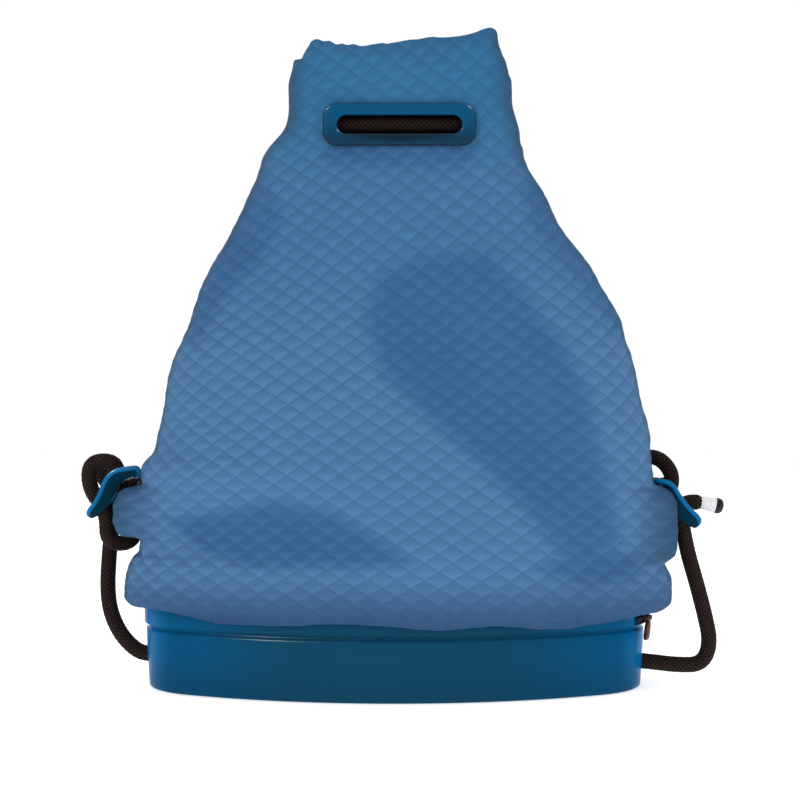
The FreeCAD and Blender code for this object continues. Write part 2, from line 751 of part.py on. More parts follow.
# The left plate's lip lies along the cloth; the rest arches out over the rope, measured from the tab's edge
lip_foot = left_tab_top + size("cloth_gap")
lip_head = lip_foot + size("plate_lip_height")
lip_stand = plate_thickness / 2 + size("cloth_gap")
lip_foot_point = Vector(side_edge(-1, lip_foot) - lip_stand, 0, lip_foot)
lip_head_point = Vector(side_edge(-1, lip_head) - lip_stand, 0, lip_head)
left_edge = side_edge(-1, left_level)
left_profile = [(left_edge - 39.5, left_level - 1), (left_edge - 32, left_level + 7.5),
                (left_edge - 26.5, left_level + 20), (left_edge - 17.5, left_level + 28.5),
                (lip_head_point.x, lip_head_point.z), (lip_foot_point.x, lip_foot_point.z)]
left_plate = rope_plate(left_profile, (left_edge - 32.3, left_level + 7.5),
                        (left_edge - 17.8, left_level + 28.3))
flange_level = right_tab_top + size("cloth_gap") + plate_thickness / 2
right_edge = side_edge(1, flange_level) + size("cloth_gap")
right_profile = [(right_edge, flange_level), (right_edge + 10, flange_level),
                 (right_edge + 16, flange_level - 5.5), (right_edge + 28.5, flange_level - 21),
                 (right_edge + 32.5, flange_level - 28.5)]
right_plate = rope_plate(right_profile, (right_edge + 17, flange_level - 7),
                         (right_edge + 27.5, flange_level - 20))
print("edges", round(left_edge, 2), round(right_edge, 2), "lip", lip_head_point, lip_foot_point)
print("plates valid", left_plate.isValid(), round(left_plate.Volume), right_plate.isValid(),
      round(right_plate.Volume))

# Rivets: two through the left plate's lip into the sack, one down into the right tab

rivet_radius = size("rivet_radius")
head_radius = size("rivet_head_radius")
head_height = size("rivet_head_height")
washer_thickness = size("washer_thickness")
hole_radius = rivet_radius + 0.05


def rivet(place, direction, length, clinched):
    # A shank with a head outside and, where it goes through to the inside, a clinched end
    body = Part.makeCylinder(head_radius, head_height, place - direction * head_height, direction)
    body = body.fuse(Part.makeCylinder(rivet_radius, length, place, direction))
    if clinched:
        end = place + direction * length
        body = body.fuse(Part.makeCylinder(0.8 * head_radius, head_height, end, direction))
    return body.removeSplitter()


lip_run = (lip_foot_point - lip_head_point).normalize()
lip_middle = lip_foot_point - lip_run * size("rivet_lift")
into_sack = Vector(-lip_run.z, 0, lip_run.x)
rivet_rows = (plate_middle - size("rivet_spacing") / 2, plate_middle + size("rivet_spacing") / 2)
left_rivets = []
left_washers = []
rivet_holes = []
washer_rooms = []
for y in rivet_rows:
    place = Vector(lip_middle.x, y, lip_middle.z) - into_sack * (plate_thickness / 2 + size("seat_gap"))
    shell = front_shell if y < 0 else back_shell
    inside = wall_crossings(shell, y, lip_middle.z, "x")[1][0]
    grip = (inside - place.x) / into_sack.x + 2 * size("cloth_gap") + size("seat_gap")
    rivet_holes.append(Part.makeCylinder(hole_radius, grip + washer_thickness + 5, place - into_sack * 5,
                                         into_sack))
    washer = Part.makeCylinder(size("washer_radius"), washer_thickness, place + into_sack * grip, into_sack)
    left_washers.append(washer.cut(rivet_holes[-1]))
    left_rivets.append(rivet(place, into_sack, grip + washer_thickness + 0.02, True))
    room = size("washer_radius") + 1
    washer_rooms.append(Part.makeCylinder(room, 4 * room, place + into_sack * (grip - 2 * room), into_sack))
rivet_holes = Part.makeCompound(rivet_holes)
washer_rooms = Part.makeCompound(washer_rooms)
right_place = Vector(right_edge + head_radius + 0.5, -size("tab_front") / 2,
                     flange_level + plate_thickness / 2 + size("seat_gap"))
down = Vector(0, 0, -1)
right_depth = 0.3 * size("right_tab_height")
right_rivet = rivet(right_place, down, right_depth, False)
right_hole = Part.makeCylinder(hole_radius, right_depth + 0.1, right_place, down)

shape_node("left_rope_plate", left_plate.cut(rivet_holes))
shape_node("right_rope_plate", right_plate.cut(right_hole))
shape_node("left_plate_rivets", Part.makeCompound(left_rivets))
shape_node("left_plate_washers", Part.makeCompound(left_washers))
shape_node("right_plate_rivet", right_rivet)
shape_node("left_side_tab", left_tab)
shape_node("right_side_tab", right_tab.cut(right_hole))

# The panels, their lining and the strips and channel sewn inside

top_cut = above_top_edge(0)
facing_cut = above_top_edge(1)
shape_node("front_panel", front_shell.cut(top_cut).cut(collar_holes[-1]).cut(rivet_holes))
shape_node("back_panel", back_shell.cut(top_cut).cut(collar_holes[1]).cut(rivet_holes))
lining_band = slab(lining_foot, facing_foot)
for side, label in ((-1, "front_lining"), (1, "back_lining")):
    layer = half_shell(side, lining_outer, lining_inner)
    shape_node(label, layer.common(lining_band).cut(windows[side]).cut(washer_rooms))

inner_cores = {}
for name, inset in (("facing_outer", lining_outer), ("facing_inner", lining_inner), ("tape_outer", inner_layer),
                    ("tape_inner", inner_layer + size("lining_thickness")),
                    ("channel_inner", inner_layer + size("tunnel_depth")),
                    ("tunnel_inner", inner_layer + size("tunnel_depth") + size("tunnel_wall"))):
    inner_cores[name] = full_core(inset)
facing = inner_cores["facing_outer"].cut(inner_cores["facing_inner"])
facing = facing.common(slab(facing_foot + size("layer_gap"), mouth_height)).cut(facing_cut)
shape_node("mouth_facing", facing)
tape_ring = inner_cores["tape_outer"].cut(inner_cores["tape_inner"])
tape_ring = tape_ring.common(slab(lining_foot, tunnel_low - size("layer_gap")))
tape_ring = tape_ring.common(middle_band(size("seam_tape_width"))).cut(washer_rooms)
for label, keep_side in (("left_seam_tape", -1), ("right_seam_tape", 1)):
    parts_of_side = [solid for solid in tape_ring.Solids if solid.CenterOfMass.x * keep_side > 0]
    shape_node(label, Part.makeCompound(parts_of_side) if len(parts_of_side) > 1 else parts_of_side[0])
wall = size("tunnel_wall")
tunnel = inner_cores["tape_outer"].cut(inner_cores["tunnel_inner"]).common(slab(tunnel_low, tunnel_high))
channel = full_core(lining_inner - 1).cut(inner_cores["channel_inner"])
channel = channel.common(slab(tunnel_low + wall, tunnel_high - wall))
shape_node("rope_tunnel", tunnel.cut(channel))

ring_level = (rim_height, 0, half_width, half_depth, end_radius)
ring_outer = full_core(lining_outer).common(slab(rim_height, ring_top))
ring_inner = Part.Face(full_wire(ring_level, size("hem_ring_width"))).extrude(
    Vector(0, 0, size("hem_ring_thickness")))
shape_node("hem_ring", ring_outer.cut(ring_inner))

# The rope. Points are hand-chosen along its real route, left and right as seen from the front.

neck_run_points = [Vector(23, 46, 366.3), Vector(23, 22.5, 362.9), Vector(58, 21.7, 363.8), Vector(70.7, 9, 364.5),
                   Vector(70.7, -9, 364.5), Vector(58, -21.7, 364.5), Vector(33, -24.5, 365),
                   Vector(-25, -24.5, 365), Vector(-51.5, -21.7, 364.5), Vector(-64.3, -9, 364.5),
                   Vector(-64.3, 9, 364.5), Vector(-51.5, 21.7, 363.8), Vector(-17, 22.5, 362.9),
                   Vector(-17, 46, 366.3)]
right_strap_points = [Vector(23, 46, 366.3), Vector(23, 57, 367.9), Vector(27, 57.5, 349), Vector(36, 59, 318),
                      Vector(50, 71, 280), Vector(68, 81, 235), Vector(87, 88, 187), Vector(104, 87, 142),
                      Vector(121, 80, 113), Vector(139, 70, 104), Vector(154, 58, 111), Vector(163, 46, 129),
                      Vector(167, 38, 147), Vector(177, 31, 149), Vector(186, 29.5, 141),
                      Vector(188.5, 29.5, 130), Vector(184, 30.5, 122)]
left_strap_points = [Vector(-17, 46, 366.3), Vector(-17, 57, 367.9), Vector(-21, 57.5, 349), Vector(-30, 59, 318),
                     Vector(-44, 71, 280), Vector(-62, 81, 235), Vector(-81, 88, 187), Vector(-98, 87, 143),
                     Vector(-115, 80, 114), Vector(-132, 71, 104), Vector(-147, 61, 106),
                     Vector(-158, 50, 119), Vector(-168, 34, 130), Vector(-176.25, 19.5, 130.4)]
left_hitch_points = [Vector(-176.25, 19.5, 130.4), Vector(-184.5, 5, 130.8), Vector(-184.3, 5, 146.5),
                     Vector(-203, 5, 146.5), Vector(-203.2, 5, 128), Vector(-191.2, 5, 113),
                     Vector(-191.5, 5.5, 89), Vector(-173.8, 14.5, 89), Vector(-173.2, 16, 113.5),
                     Vector(-189, 19, 113.5), Vector(-189, 18.5, 100)]
left_lower_points = [Vector(-189, 18.5, 100), Vector(-189, 17.8, 81), Vector(-190, 12, 60),
                     Vector(-187.5, 6.5, 42.5), Vector(-181.5, 3, 28.5), Vector(-173, 0, 15),
                     Vector(-160.5, 0, 15)]
base_run_points = [Vector(-160.5, 0, 15), Vector(160.5, 0, 15)]
right_lower_points = [Vector(160.5, 0, 15), Vector(182, 0, 15), Vector(207.5, 1.5, 14.3), Vector(204.8, 3, 40),
                      Vector(200, 4, 61), Vector(195.5, 4.8, 82), Vector(191.8, 5, 100),
                      Vector(189.3, 5, 113), Vector(193.8, 5, 120.8), Vector(206.5, 5, 118.3)]
knot_centre = Vector(180, 31.3, 126.3)

def rope_run(label, points):
    path, radii = bent_path(points)
    along = (points[1] - points[0]).normalize()
    ring = Part.Wire([Part.makeCircle(rope_radius, points[0], along)])
    tube = path.makePipeShell([ring], True, True)
    expected = math.pi * rope_radius ** 2 * path.Length
    print(label, "length", round(path.Length, 1), "radii", [round(radius, 1) for radius in radii],
          "volume share", round(tube.Volume / expected, 4), tube.isValid())
    return shape_node(label, tube)


rope_run("rope_neck_run", neck_run_points)
rope_run("rope_right_strap", right_strap_points)
rope_run("rope_left_strap", left_strap_points)
rope_run("rope_left_hitch", left_hitch_points)
rope_run("rope_left_lower", left_lower_points)
rope_run("rope_base_run", base_run_points)
rope_run("rope_right_lower", right_lower_points)
shape_node("rope_right_knot", Part.makeSphere(size("knot_radius"), knot_centre))

# The rope's fittings: a ribbed sleeve crimped on the tail and a cap over its end


def turned(profile, origin, direction):
    # Revolves (radius, distance) points about the tail's own line
    points = [Vector(radius, 0, distance) for radius, distance in profile]
    face = Part.Face(Part.makePolygon(points + [points[0]]))
    solid = face.revolve(Vector(0, 0, 0), Vector(0, 0, 1), 360)
    solid.Placement = Placement(origin, Rotation(Vector(0, 0, 1), direction))
    return solid


tail_line = (right_lower_points[-1] - right_lower_points[-2]).normalize()
ferrule_length = size("ferrule_length")
ferrule_start = right_lower_points[-1] - tail_line * (ferrule_length / 2)
bore = rope_radius + 0.05
rib_count = int(size("ferrule_rib_count"))
pitch = ferrule_length / rib_count
sleeve = [(bore, 0)]
for number in range(rib_count):
    radius = size("ferrule_radius") + size("ferrule_flare") * number / rib_count
    foot = number * pitch
    sleeve += [(radius, foot), (radius + size("ferrule_rib_height"), foot + 0.25 * pitch),
               (radius + size("ferrule_rib_height"), foot + 0.55 * pitch), (radius, foot + 0.8 * pitch)]
sleeve += [(size("ferrule_radius") + size("ferrule_flare"), ferrule_length), (bore, ferrule_length)]
shape_node("rope_ferrule", turned(sleeve, ferrule_start, tail_line))
cap_radius = size("cap_radius")
cap_length = size("cap_length")
plug = ferrule_length / 2 - 0.1
cap = [(0, -plug), (bore - 0.1, -plug), (bore - 0.1, 0), (cap_radius, 0), (cap_radius, 0.55 * cap_length),
       (0.85 * cap_radius, 0.85 * cap_length), (0.5 * cap_radius, cap_length), (0, cap_length)]
shape_node("rope_end_cap", turned(cap, ferrule_start + tail_line * ferrule_length, tail_line))

# The zip round the right end of the rim: tape, coil, slider and pull, all about the end arc's centre

end_reach = half_width - end_radius
lip_radius = end_radius + size("lip_step")
zip_level = size("zip_level")
tape_out = lip_radius + size("zip_tape_thickness")
coil_out = tape_out + size("zip_coil_thickness")
zip_low = zip_level - size("zip_tape_low")
zip_high = zip_level + size("zip_tape_high")


def arc_band(inner, outer, low, high, from_angle, to_angle):
    turn = to_angle - from_angle
    outer_part = Part.makeCylinder(outer, high - low, Vector(0, 0, low), Vector(0, 0, 1), turn)
    inner_part = Part.makeCylinder(inner, high - low, Vector(0, 0, low), Vector(0, 0, 1), turn)
    band = outer_part.cut(inner_part)
    band.Placement = Placement(Vector(end_reach, 0, 0), Rotation(Vector(0, 0, 1), from_angle))
    return band


end_drop = oval_numbers(half_width, half_depth, end_radius)[1] - half_depth
end_turn = math.degrees(math.atan2(end_drop, end_reach))
zip_start = size("zip_front_margin") - end_turn
zip_end = end_turn - size("zip_back_margin")
shape_node("zip_tape", arc_band(lip_radius + 0.02, tape_out, zip_low, zip_high, zip_start, zip_end))
coil_low = zip_level - size("zip_coil_height") / 2
coil_high = zip_level + size("zip_coil_height") / 2
shape_node("zip_coil", arc_band(tape_out, coil_out, coil_low, coil_high, zip_start + 1, zip_end - 1))

gap = size("slider_gap")
skin = size("slider_skin")
slider_half = size("slider_width") / 2
slider_low = zip_level - size("slider_height") / 2
slider_out = coil_out + gap + skin
block = Part.makeBox(slider_out - tape_out - gap, 2 * slider_half, size("slider_height"),
                     Vector(tape_out + gap, -slider_half, slider_low))
channel_cut = Part.makeCylinder(coil_out + gap, size("zip_coil_height") + 2 * gap,
                                Vector(0, 0, coil_low - gap), Vector(0, 0, 1))
tape_round = Part.makeCylinder(tape_out + gap, 3 * size("slider_height"),
                               Vector(0, 0, slider_low - size("slider_height")), Vector(0, 0, 1))
pin_reach = slider_out + size("slider_ear_reach") / 2
ear_outer = slider_out + size("slider_ear_reach")
ear_width = size("slider_ear_width")
pin_level = zip_level + 0.5
block = block.cut(channel_cut).cut(tape_round)
pull_hole = size("pull_pin_radius") + size("pull_pin_gap")
neck_half = size("pull_neck_width") / 2
ears = []
for sign in (-1, 1):
    near = sign * (neck_half + 0.3)
    low_y = min(near, near + sign * ear_width)
    ears.append(Part.makeBox(ear_outer - slider_out + skin / 2, ear_width, 3.0,
                             Vector(slider_out - skin / 2, low_y, pin_level - 1.5)))
pin = Part.makeCylinder(size("pull_pin_radius"), 2 * (neck_half + 0.3) + ear_width,
                        Vector(pin_reach, -neck_half - 0.3 - ear_width / 2, pin_level), Vector(0, 1, 0))
slider = block.fuse(ears + [pin]).removeSplitter()
slider_angle = zip_start + size("slider_inset_angle")
zip_turn = Placement(Vector(end_reach, 0, 0), Rotation(Vector(0, 0, 1), slider_angle))
slider.Placement = zip_turn
shape_node("zip_slider", slider)

pull_half = size("pull_thickness") / 2
pull_length = size("pull_length")
eye = Part.makeCylinder(pull_half, 2 * neck_half, Vector(pin_reach, -neck_half, pin_level), Vector(0, 1, 0))
neck = Part.makeBox(2 * pull_half, 2 * neck_half, 4.0, Vector(pin_reach - pull_half, -neck_half, pin_level - 4.0))
leaf = Part.makeBox(2 * pull_half, size("pull_width"), pull_length - 3.2,
                    Vector(pin_reach - pull_half, -size("pull_width") / 2, pin_level - pull_length))
upright = [edge for edge in leaf.Edges if edge.BoundBox.YLength < 0.01 and edge.BoundBox.ZLength < 0.01]
leaf = leaf.makeFillet(size("pull_width") * 0.28, upright)
pull = eye.fuse([neck, leaf]).removeSplitter()
pull = pull.cut(Part.makeCylinder(pull_hole, 4 * neck_half, Vector(pin_reach, -2 * neck_half, pin_level),
                                  Vector(0, 1, 0)))
pull.Placement = zip_turn
shape_node("zip_pull", pull)
pull_pivot = zip_turn.multVec(Vector(pin_reach, 0, pin_level))
pull_axis = zip_turn.Rotation.multVec(Vector(0, 1, 0))
print("zip pivot", pull_pivot, "axis", pull_axis, "slider axis", Vector(end_reach, 0, 0))

doc.recompute()
for thing in doc.Objects:
    if "Invalid" in thing.State or "Error" in thing.State:
        raise RuntimeError(thing.Name + " did not compute")
os.makedirs("parts", exist_ok=True)
for label, thing in nodes.items():
    shape = thing.Shape
    if shape.isNull() or not shape.isValid():
        raise RuntimeError(label + " has no valid shape")
    box = shape.BoundBox
    print(label, len(shape.Solids), round(shape.Volume),
          [round(value, 1) for value in (box.XMin, box.XMax, box.YMin, box.YMax, box.ZMin, box.ZMax)])
    shape.exportStep("parts/" + label + ".step")
print("nodes", len(nodes))
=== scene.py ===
import math
import bmesh
import bpy
import numpy as np
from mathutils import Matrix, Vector


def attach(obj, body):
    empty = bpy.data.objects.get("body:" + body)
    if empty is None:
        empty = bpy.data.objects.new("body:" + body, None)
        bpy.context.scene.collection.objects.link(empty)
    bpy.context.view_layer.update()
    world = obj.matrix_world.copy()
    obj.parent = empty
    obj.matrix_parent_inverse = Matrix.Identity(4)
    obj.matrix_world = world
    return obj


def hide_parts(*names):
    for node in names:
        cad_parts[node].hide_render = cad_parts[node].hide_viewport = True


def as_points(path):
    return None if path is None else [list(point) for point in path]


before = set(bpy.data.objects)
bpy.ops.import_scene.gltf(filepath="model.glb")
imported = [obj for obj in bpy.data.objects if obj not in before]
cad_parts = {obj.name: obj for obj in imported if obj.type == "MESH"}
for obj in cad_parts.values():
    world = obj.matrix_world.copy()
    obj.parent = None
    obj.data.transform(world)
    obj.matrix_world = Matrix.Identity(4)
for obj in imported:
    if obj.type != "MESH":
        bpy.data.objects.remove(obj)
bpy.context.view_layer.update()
bpy.ops.object.select_all(action="DESELECT")
print("frame loaded with", len(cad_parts), "nodes")
mm = 0.001

# camera, as low as the middle of the bag and straight in front of it
viewing = {"place": (3.3 * mm, -1.15, 187 * mm), "lens": 78.3, "sensor": 36.0}
bpy.ops.object.camera_add(location=viewing["place"], rotation=(math.radians(90), 0, 0))
camera = bpy.context.object
camera.data.lens = viewing["lens"]
camera.data.sensor_width = viewing["sensor"]
bpy.context.scene.camera = camera


class Signal:
    # one shader value that can stand in a sum or a product
    def __init__(self, finish, socket):
        self.finish = finish
        self.socket = socket

    def mixed(self, operation, first, second):
        return self.finish.add("ShaderNodeMath", {"operation": operation}, {0: first, 1: second})

    def __add__(self, other):
        return self.mixed("ADD", self, other)

    def __sub__(self, other):
        return self.mixed("SUBTRACT", self, other)

    def __rsub__(self, other):
        return self.mixed("SUBTRACT", other, self)

    def __mul__(self, other):
        return self.mixed("MULTIPLY", self, other)

    def calc(self, operation, other=0.0):
        return self.mixed(operation, self, other)

    def ramp(self, low, high, toLow=0.0, toHigh=1.0):
        # a smooth step between two values
        return self.finish.add("ShaderNodeMapRange", {"interpolation_type": "SMOOTHSTEP"},
                               {"Value": self, "From Min": low, "From Max": high,
                                "To Min": toLow, "To Max": toHigh})


class Finish:
    # a material that is being put together
    def __init__(self, name, metallic=0.0, specular=0.5):
        self.material = bpy.data.materials.new(name)
        self.material.use_nodes = True
        self.tree = self.material.node_tree
        self.tree.nodes.clear()
        self.output = self.tree.nodes.new("ShaderNodeOutputMaterial")
        self.surface = self.tree.nodes.new("ShaderNodeBsdfPrincipled")
        self.tree.links.new(self.surface.outputs[0], self.output.inputs["Surface"])
        self.give("Metallic", metallic)
        self.give("Specular IOR Level", specular)
        self.position = self.add("ShaderNodeTexCoord", output="Object")

    def plug(self, socket, value):
        if isinstance(value, Signal):
            self.tree.links.new(value.socket, socket)
        elif value is not None:
            socket.default_value = value

    def add(self, kind, settings=None, values=None, output=0):
        made = self.tree.nodes.new(kind)
        for name, value in (settings or {}).items():
            setattr(made, name, value)
        for name, value in (values or {}).items():
            self.plug(made.inputs[name], value)
        return Signal(self, made.outputs[output])

    def give(self, name, value):
        self.plug(self.surface.inputs[name], value)

    def axis(self, which, vector=None):
        return self.add("ShaderNodeSeparateXYZ", None, {0: vector or self.position}, "XYZ".index(which))

    def roundSection(self):
        # how far round its section a place of a ring-shaped plate lies, from 0 to 1
        return self.axis("Y", self.mapLayer("UVMap"))

    def noise(self, scale, detail, roughness=0.5):
        return self.add("ShaderNodeTexNoise", None, {"Vector": self.position, "Scale": scale,
                                                     "Detail": detail, "Roughness": roughness})

    def threads(self, scale, distortion, detail=2.0):
        # the threads of a woven cloth, those side by side and those one above the other
        values = {"Vector": self.position, "Scale": scale, "Distortion": distortion, "Detail": detail}
        return [self.add("ShaderNodeTexWave", {"bands_direction": way}, values) for way in "XZ"]

    def mapLayer(self, name):
        return self.add("ShaderNodeUVMap", {"uv_map": name})

    def attribute(self, name):
        return self.add("ShaderNodeAttribute", {"attribute_name": name}, None, "Fac")

    def tinted(self, base, layers):
        # lays colours over the base, each as strongly as its factor says
        for factor, tint in layers:
            base = self.add("ShaderNodeMix", {"data_type": "RGBA"}, {0: factor, 6: base, 7: tint}, 2)
        self.give("Base Color", base)

    def bump(self, height, distance, strength):
        self.give("Normal", self.add("ShaderNodeBump", None, {"Height": height, "Distance": distance,
                                                              "Strength": strength}))


def colour(red, green, blue):
    # a screen colour, 0 to 255, as light
    parts = [value / 255 for value in (red, green, blue)]
    return tuple(part / 12.92 if part <= 0.04045 else ((part + 0.055) / 1.055) ** 2.4
                 for part in parts) + (1.0,)


def gridPiece(name, columns, rows, layer="UVMap"):
    # a flat grid whose points are then laid out in code, row by row
    bpy.ops.mesh.primitive_grid_add(x_subdivisions=columns, y_subdivisions=rows, size=1)
    piece = bpy.context.object
    piece.name = name
    piece.data.name = name
    piece.data.uv_layers[0].name = layer
    return piece


def layOut(piece, points):
    piece.data.vertices.foreach_set("co", np.ascontiguousarray(points, dtype=np.float32).ravel())
    piece.data.update()


def countedMap(piece, layer, across, along):
    # stretches the grid's own map, so that it counts strands or threads
    uv = piece.data.uv_layers[layer].uv
    spots = np.zeros(len(uv) * 2, dtype=np.float32)
    uv.foreach_get("vector", spots)
    uv.foreach_set("vector", (spots.reshape(-1, 2) * (across, along)).astype(np.float32).ravel())


def only(piece):
    if bpy.context.object and bpy.context.object.mode != "OBJECT":
        bpy.ops.object.mode_set(mode="OBJECT")
    bpy.ops.object.select_all(action="DESELECT")
    piece.select_set(True)
    bpy.context.view_layer.objects.active = piece


def editing(piece, *actions):
    # runs mesh operators on the whole piece in edit mode
    only(piece)
    bpy.ops.object.mode_set(mode="EDIT")
    bpy.ops.mesh.select_all(action="SELECT")
    for action in actions:
        action()
    bpy.ops.object.mode_set(mode="OBJECT")


def surfacePiece(name, points, layer="UVMap", counts=(1, 1), fill=False):
    # rows of places in metres; where two places meet they become one
    piece = gridPiece(name, points.shape[1] - 1, points.shape[0] - 1, layer)
    layOut(piece, points)
    countedMap(piece, layer, *counts)
    editing(piece, lambda: bpy.ops.mesh.remove_doubles(threshold=2e-6))
    if fill:
        editing(piece, lambda: bpy.ops.mesh.fill_holes(sides=0))
    editing(piece, lambda: bpy.ops.mesh.normals_make_consistent(inside=False))
    return piece


def applied(piece, kind, **settings):
    only(piece)
    modifier = piece.modifiers.new(kind.title(), kind)
    for name, value in settings.items():
        setattr(modifier, name, value)
    bpy.ops.object.modifier_apply(modifier=modifier.name)


def finished(piece, finish, body="bag", nodes=(), angle=40):
    only(piece)
    if angle is None:
        bpy.ops.object.shade_smooth()
    else:
        bpy.ops.object.shade_smooth_by_angle(angle=math.radians(angle))
    piece.data.materials.clear()
    piece.data.materials.append(finish)
    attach(piece, body)
    if nodes:
        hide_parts(*nodes)
    piece.select_set(False)
    return piece


def smoothLine(places, values):
    # a curve through a few points that never swings past them
    places = np.array(places, dtype=float)
    values = np.array(values, dtype=float)
    gaps = np.diff(places)
    steps = np.diff(values) / gaps
    slopes = np.zeros(len(values))
    slopes[0], slopes[-1] = steps[0], steps[-1]
    same = steps[:-1] * steps[1:] > 0
    with np.errstate(divide="ignore", invalid="ignore"):
        mean = 2 * steps[:-1] * steps[1:] / (steps[:-1] + steps[1:])
    slopes[1:-1] = np.where(same, mean, 0.0)

    def at(spot):
        spot = np.clip(spot, places[0], places[-1])
        index = np.clip(np.searchsorted(places, spot) - 1, 0, len(gaps) - 1)
        share = (spot - places[index]) / gaps[index]
        square, cube = share ** 2, share ** 3
        return (values[index] * (2 * cube - 3 * square + 1) + values[index + 1] * (3 * square - 2 * cube)
                + gaps[index] * (slopes[index] * (cube - 2 * square + share)
                                 + slopes[index + 1] * (cube - square)))
    return at


def step(value, low, high):
    # a smooth step from 0 at low to 1 at high
    share = np.clip((value - low) / (high - low), 0, 1)
    return share * share * (3 - 2 * share)


# The finishes

def quiltedCloth():
    # matt blue cloth: the map layer counts the stitch lines, one unit from each line to the next
    look = {"body": colour(78, 123, 166), "upper": colour(69, 117, 161), "neck": colour(46, 109, 153),
            "painted_shade": colour(54, 99, 147), "deep": colour(42, 82, 126), "hem": colour(39, 69, 106),
            "line": colour(46, 92, 135), "lift": colour(96, 148, 188), "painted_edge_shade": colour(46, 79, 110)}
    finish = Finish("quilted_cloth", specular=0.2)
    cells = finish.mapLayer("stitches")
    nearAcross = finish.axis("X", cells).calc("FRACT")
    nearRising = 1.0 - finish.axis("Y", cells).calc("FRACT")
    height = finish.axis("Z")
    # the shade lies just under the two upper lines of each diamond
    shade = (nearAcross * nearRising).calc("SQRT").ramp(0.0, 0.62, 1.0, 0.0)
    edge = nearAcross.calc("PINGPONG", 0.5).calc("MINIMUM", nearRising.calc("PINGPONG", 0.5))
    line = edge.ramp(0.0, 0.07, 1.0, 0.0)
    stain = finish.noise(9.0, 3.0)
    plain = 1.0 - finish.attribute("rim") * 0.8
    finish.tinted(look["body"], [
        (height.ramp(0.20, 0.29), look["upper"]),
        (height.ramp(0.32, 0.385), look["neck"]),
        # painted shade of the folds and painted shadow under the eyelet plate
        (finish.attribute("painted_shade"), look["painted_shade"]),
        # painted shade on the lobes and where the cloth turns away at its edges
        (finish.attribute("painted_edge_shade"), look["painted_edge_shade"]),
        # painted shade: the cloth darkens towards its hem, where it turns under
        (height.ramp(0.046, 0.082, 0.9, 0.0), look["hem"]),
        ((stain - 0.42) * 0.3, look["lift"]),
        (shade * plain * 0.30, look["deep"]),
        (line * plain * 0.26, look["line"]),
    ])
    warp, weft = finish.threads(260.0, 1.2, 1.0)
    finish.give("Roughness", stain * 0.12 + 0.78)
    finish.bump((warp + weft) * 0.5 - line * 1.2 + finish.noise(700.0, 2.0) * 0.5, 0.00022, 0.5)
    return finish.material


def wovenCloth(name, light, dark, scale):
    finish = Finish(name, specular=0.15)
    warp, weft = finish.threads(scale, 0.6)
    mottle = finish.noise(30.0, 4.0)
    finish.tinted(dark, [(warp * weft * 0.6 + mottle * 0.3, light)])
    finish.give("Roughness", mottle * 0.15 + 0.78)
    finish.bump(warp + weft, 0.0003, 0.4)
    return finish.material


def moulded(finish, roughness, mottle, base, layers):
    # what every glossy moulding has: a slight wave in the gloss and fine scuffs
    scuff = finish.noise(260.0, 6.0, roughness=0.7).ramp(0.62, 0.74)
    finish.tinted(base, layers)
    finish.give("Roughness", mottle * 0.08 + scuff * 0.1 + (roughness - 0.04))
    finish.bump(finish.noise(45.0, 2.0) + scuff * -0.1, 0.00015, 0.2)
    return finish.material


def trayPlastic():
    # painted light and shade: darker along the front, brighter where the ends turn to the light, darker
    # towards the foot, and a painted shadow of the hem on the lip's middle
    finish = Finish("tray_plastic", specular=0.02)
    height = finish.axis("Z")
    out = finish.axis("X").calc("ABSOLUTE")
    mottle = finish.noise(14.0, 3.0)
    # painted shadow that the hem casts on the lip's middle
    hemShadowOnLip = height.ramp(0.0375, 0.0415, 0.0, 0.35) * out.ramp(0.08, 0.14, 1.0, 0.0)
    return moulded(finish, 0.24, mottle, colour(17, 72, 101), [
        (out.ramp(0.06, 0.145), colour(2, 83, 126)),
        (out.ramp(0.142, 0.161), colour(0, 108, 168)),
        (height.ramp(0.001, 0.03, 0.5, 0.0), colour(17, 64, 90)),
        (hemShadowOnLip, colour(12, 60, 86)),
        (mottle.ramp(0.35, 0.7, 0.0, 0.12), colour(14, 60, 90)),
    ])


def eyeletPlastic():
    # lighter at the top with painted shade below, a painted shadow under the rope's bulge and a painted dark
    # shade round its outer edge
    finish = Finish("eyelet_plastic", specular=0.08)
    height = finish.axis("Z")
    out = (finish.axis("X") - 0.003) * 22.0
    under = (height - 0.3575) * 150.0
    ropeShadow = (out * out + under * under).ramp(0.15, 1.0, 0.75, 0.0)
    return moulded(finish, 0.2, finish.noise(20.0, 3.0), colour(16, 56, 80), [
        (height.ramp(0.350, 0.372), colour(6, 79, 119)),
        (ropeShadow, colour(12, 30, 40)),
        (finish.roundSection().ramp(0.545, 0.585), colour(22, 40, 60)),
    ])


def platePlastic():
    # bright blue, with painted shade on the side that faces the cloth
    finish = Finish("rope_plate_plastic", specular=0.1)
    mottle = finish.noise(20.0, 3.0)
    place = finish.roundSection()
    return moulded(finish, 0.2, mottle, colour(0, 108, 164), [
        (mottle.ramp(0.35, 0.7, 0.0, 0.2), colour(2, 92, 142)),
        (place.ramp(0.765, 0.8).calc("MAXIMUM", place.ramp(0.1, 0.2, 1.0, 0.0)), colour(12, 56, 78)),
    ])


def mattPlastic(name, light, dark, roughness):
    finish = Finish(name, specular=0.3)
    pebble = finish.noise(900.0, 3.0)
    finish.tinted(dark, [(finish.noise(40.0, 4.0), light)])
    finish.give("Roughness", pebble * 0.2 + (roughness - 0.1))
    finish.bump(pebble, 0.0001, 0.4)
    return finish.material


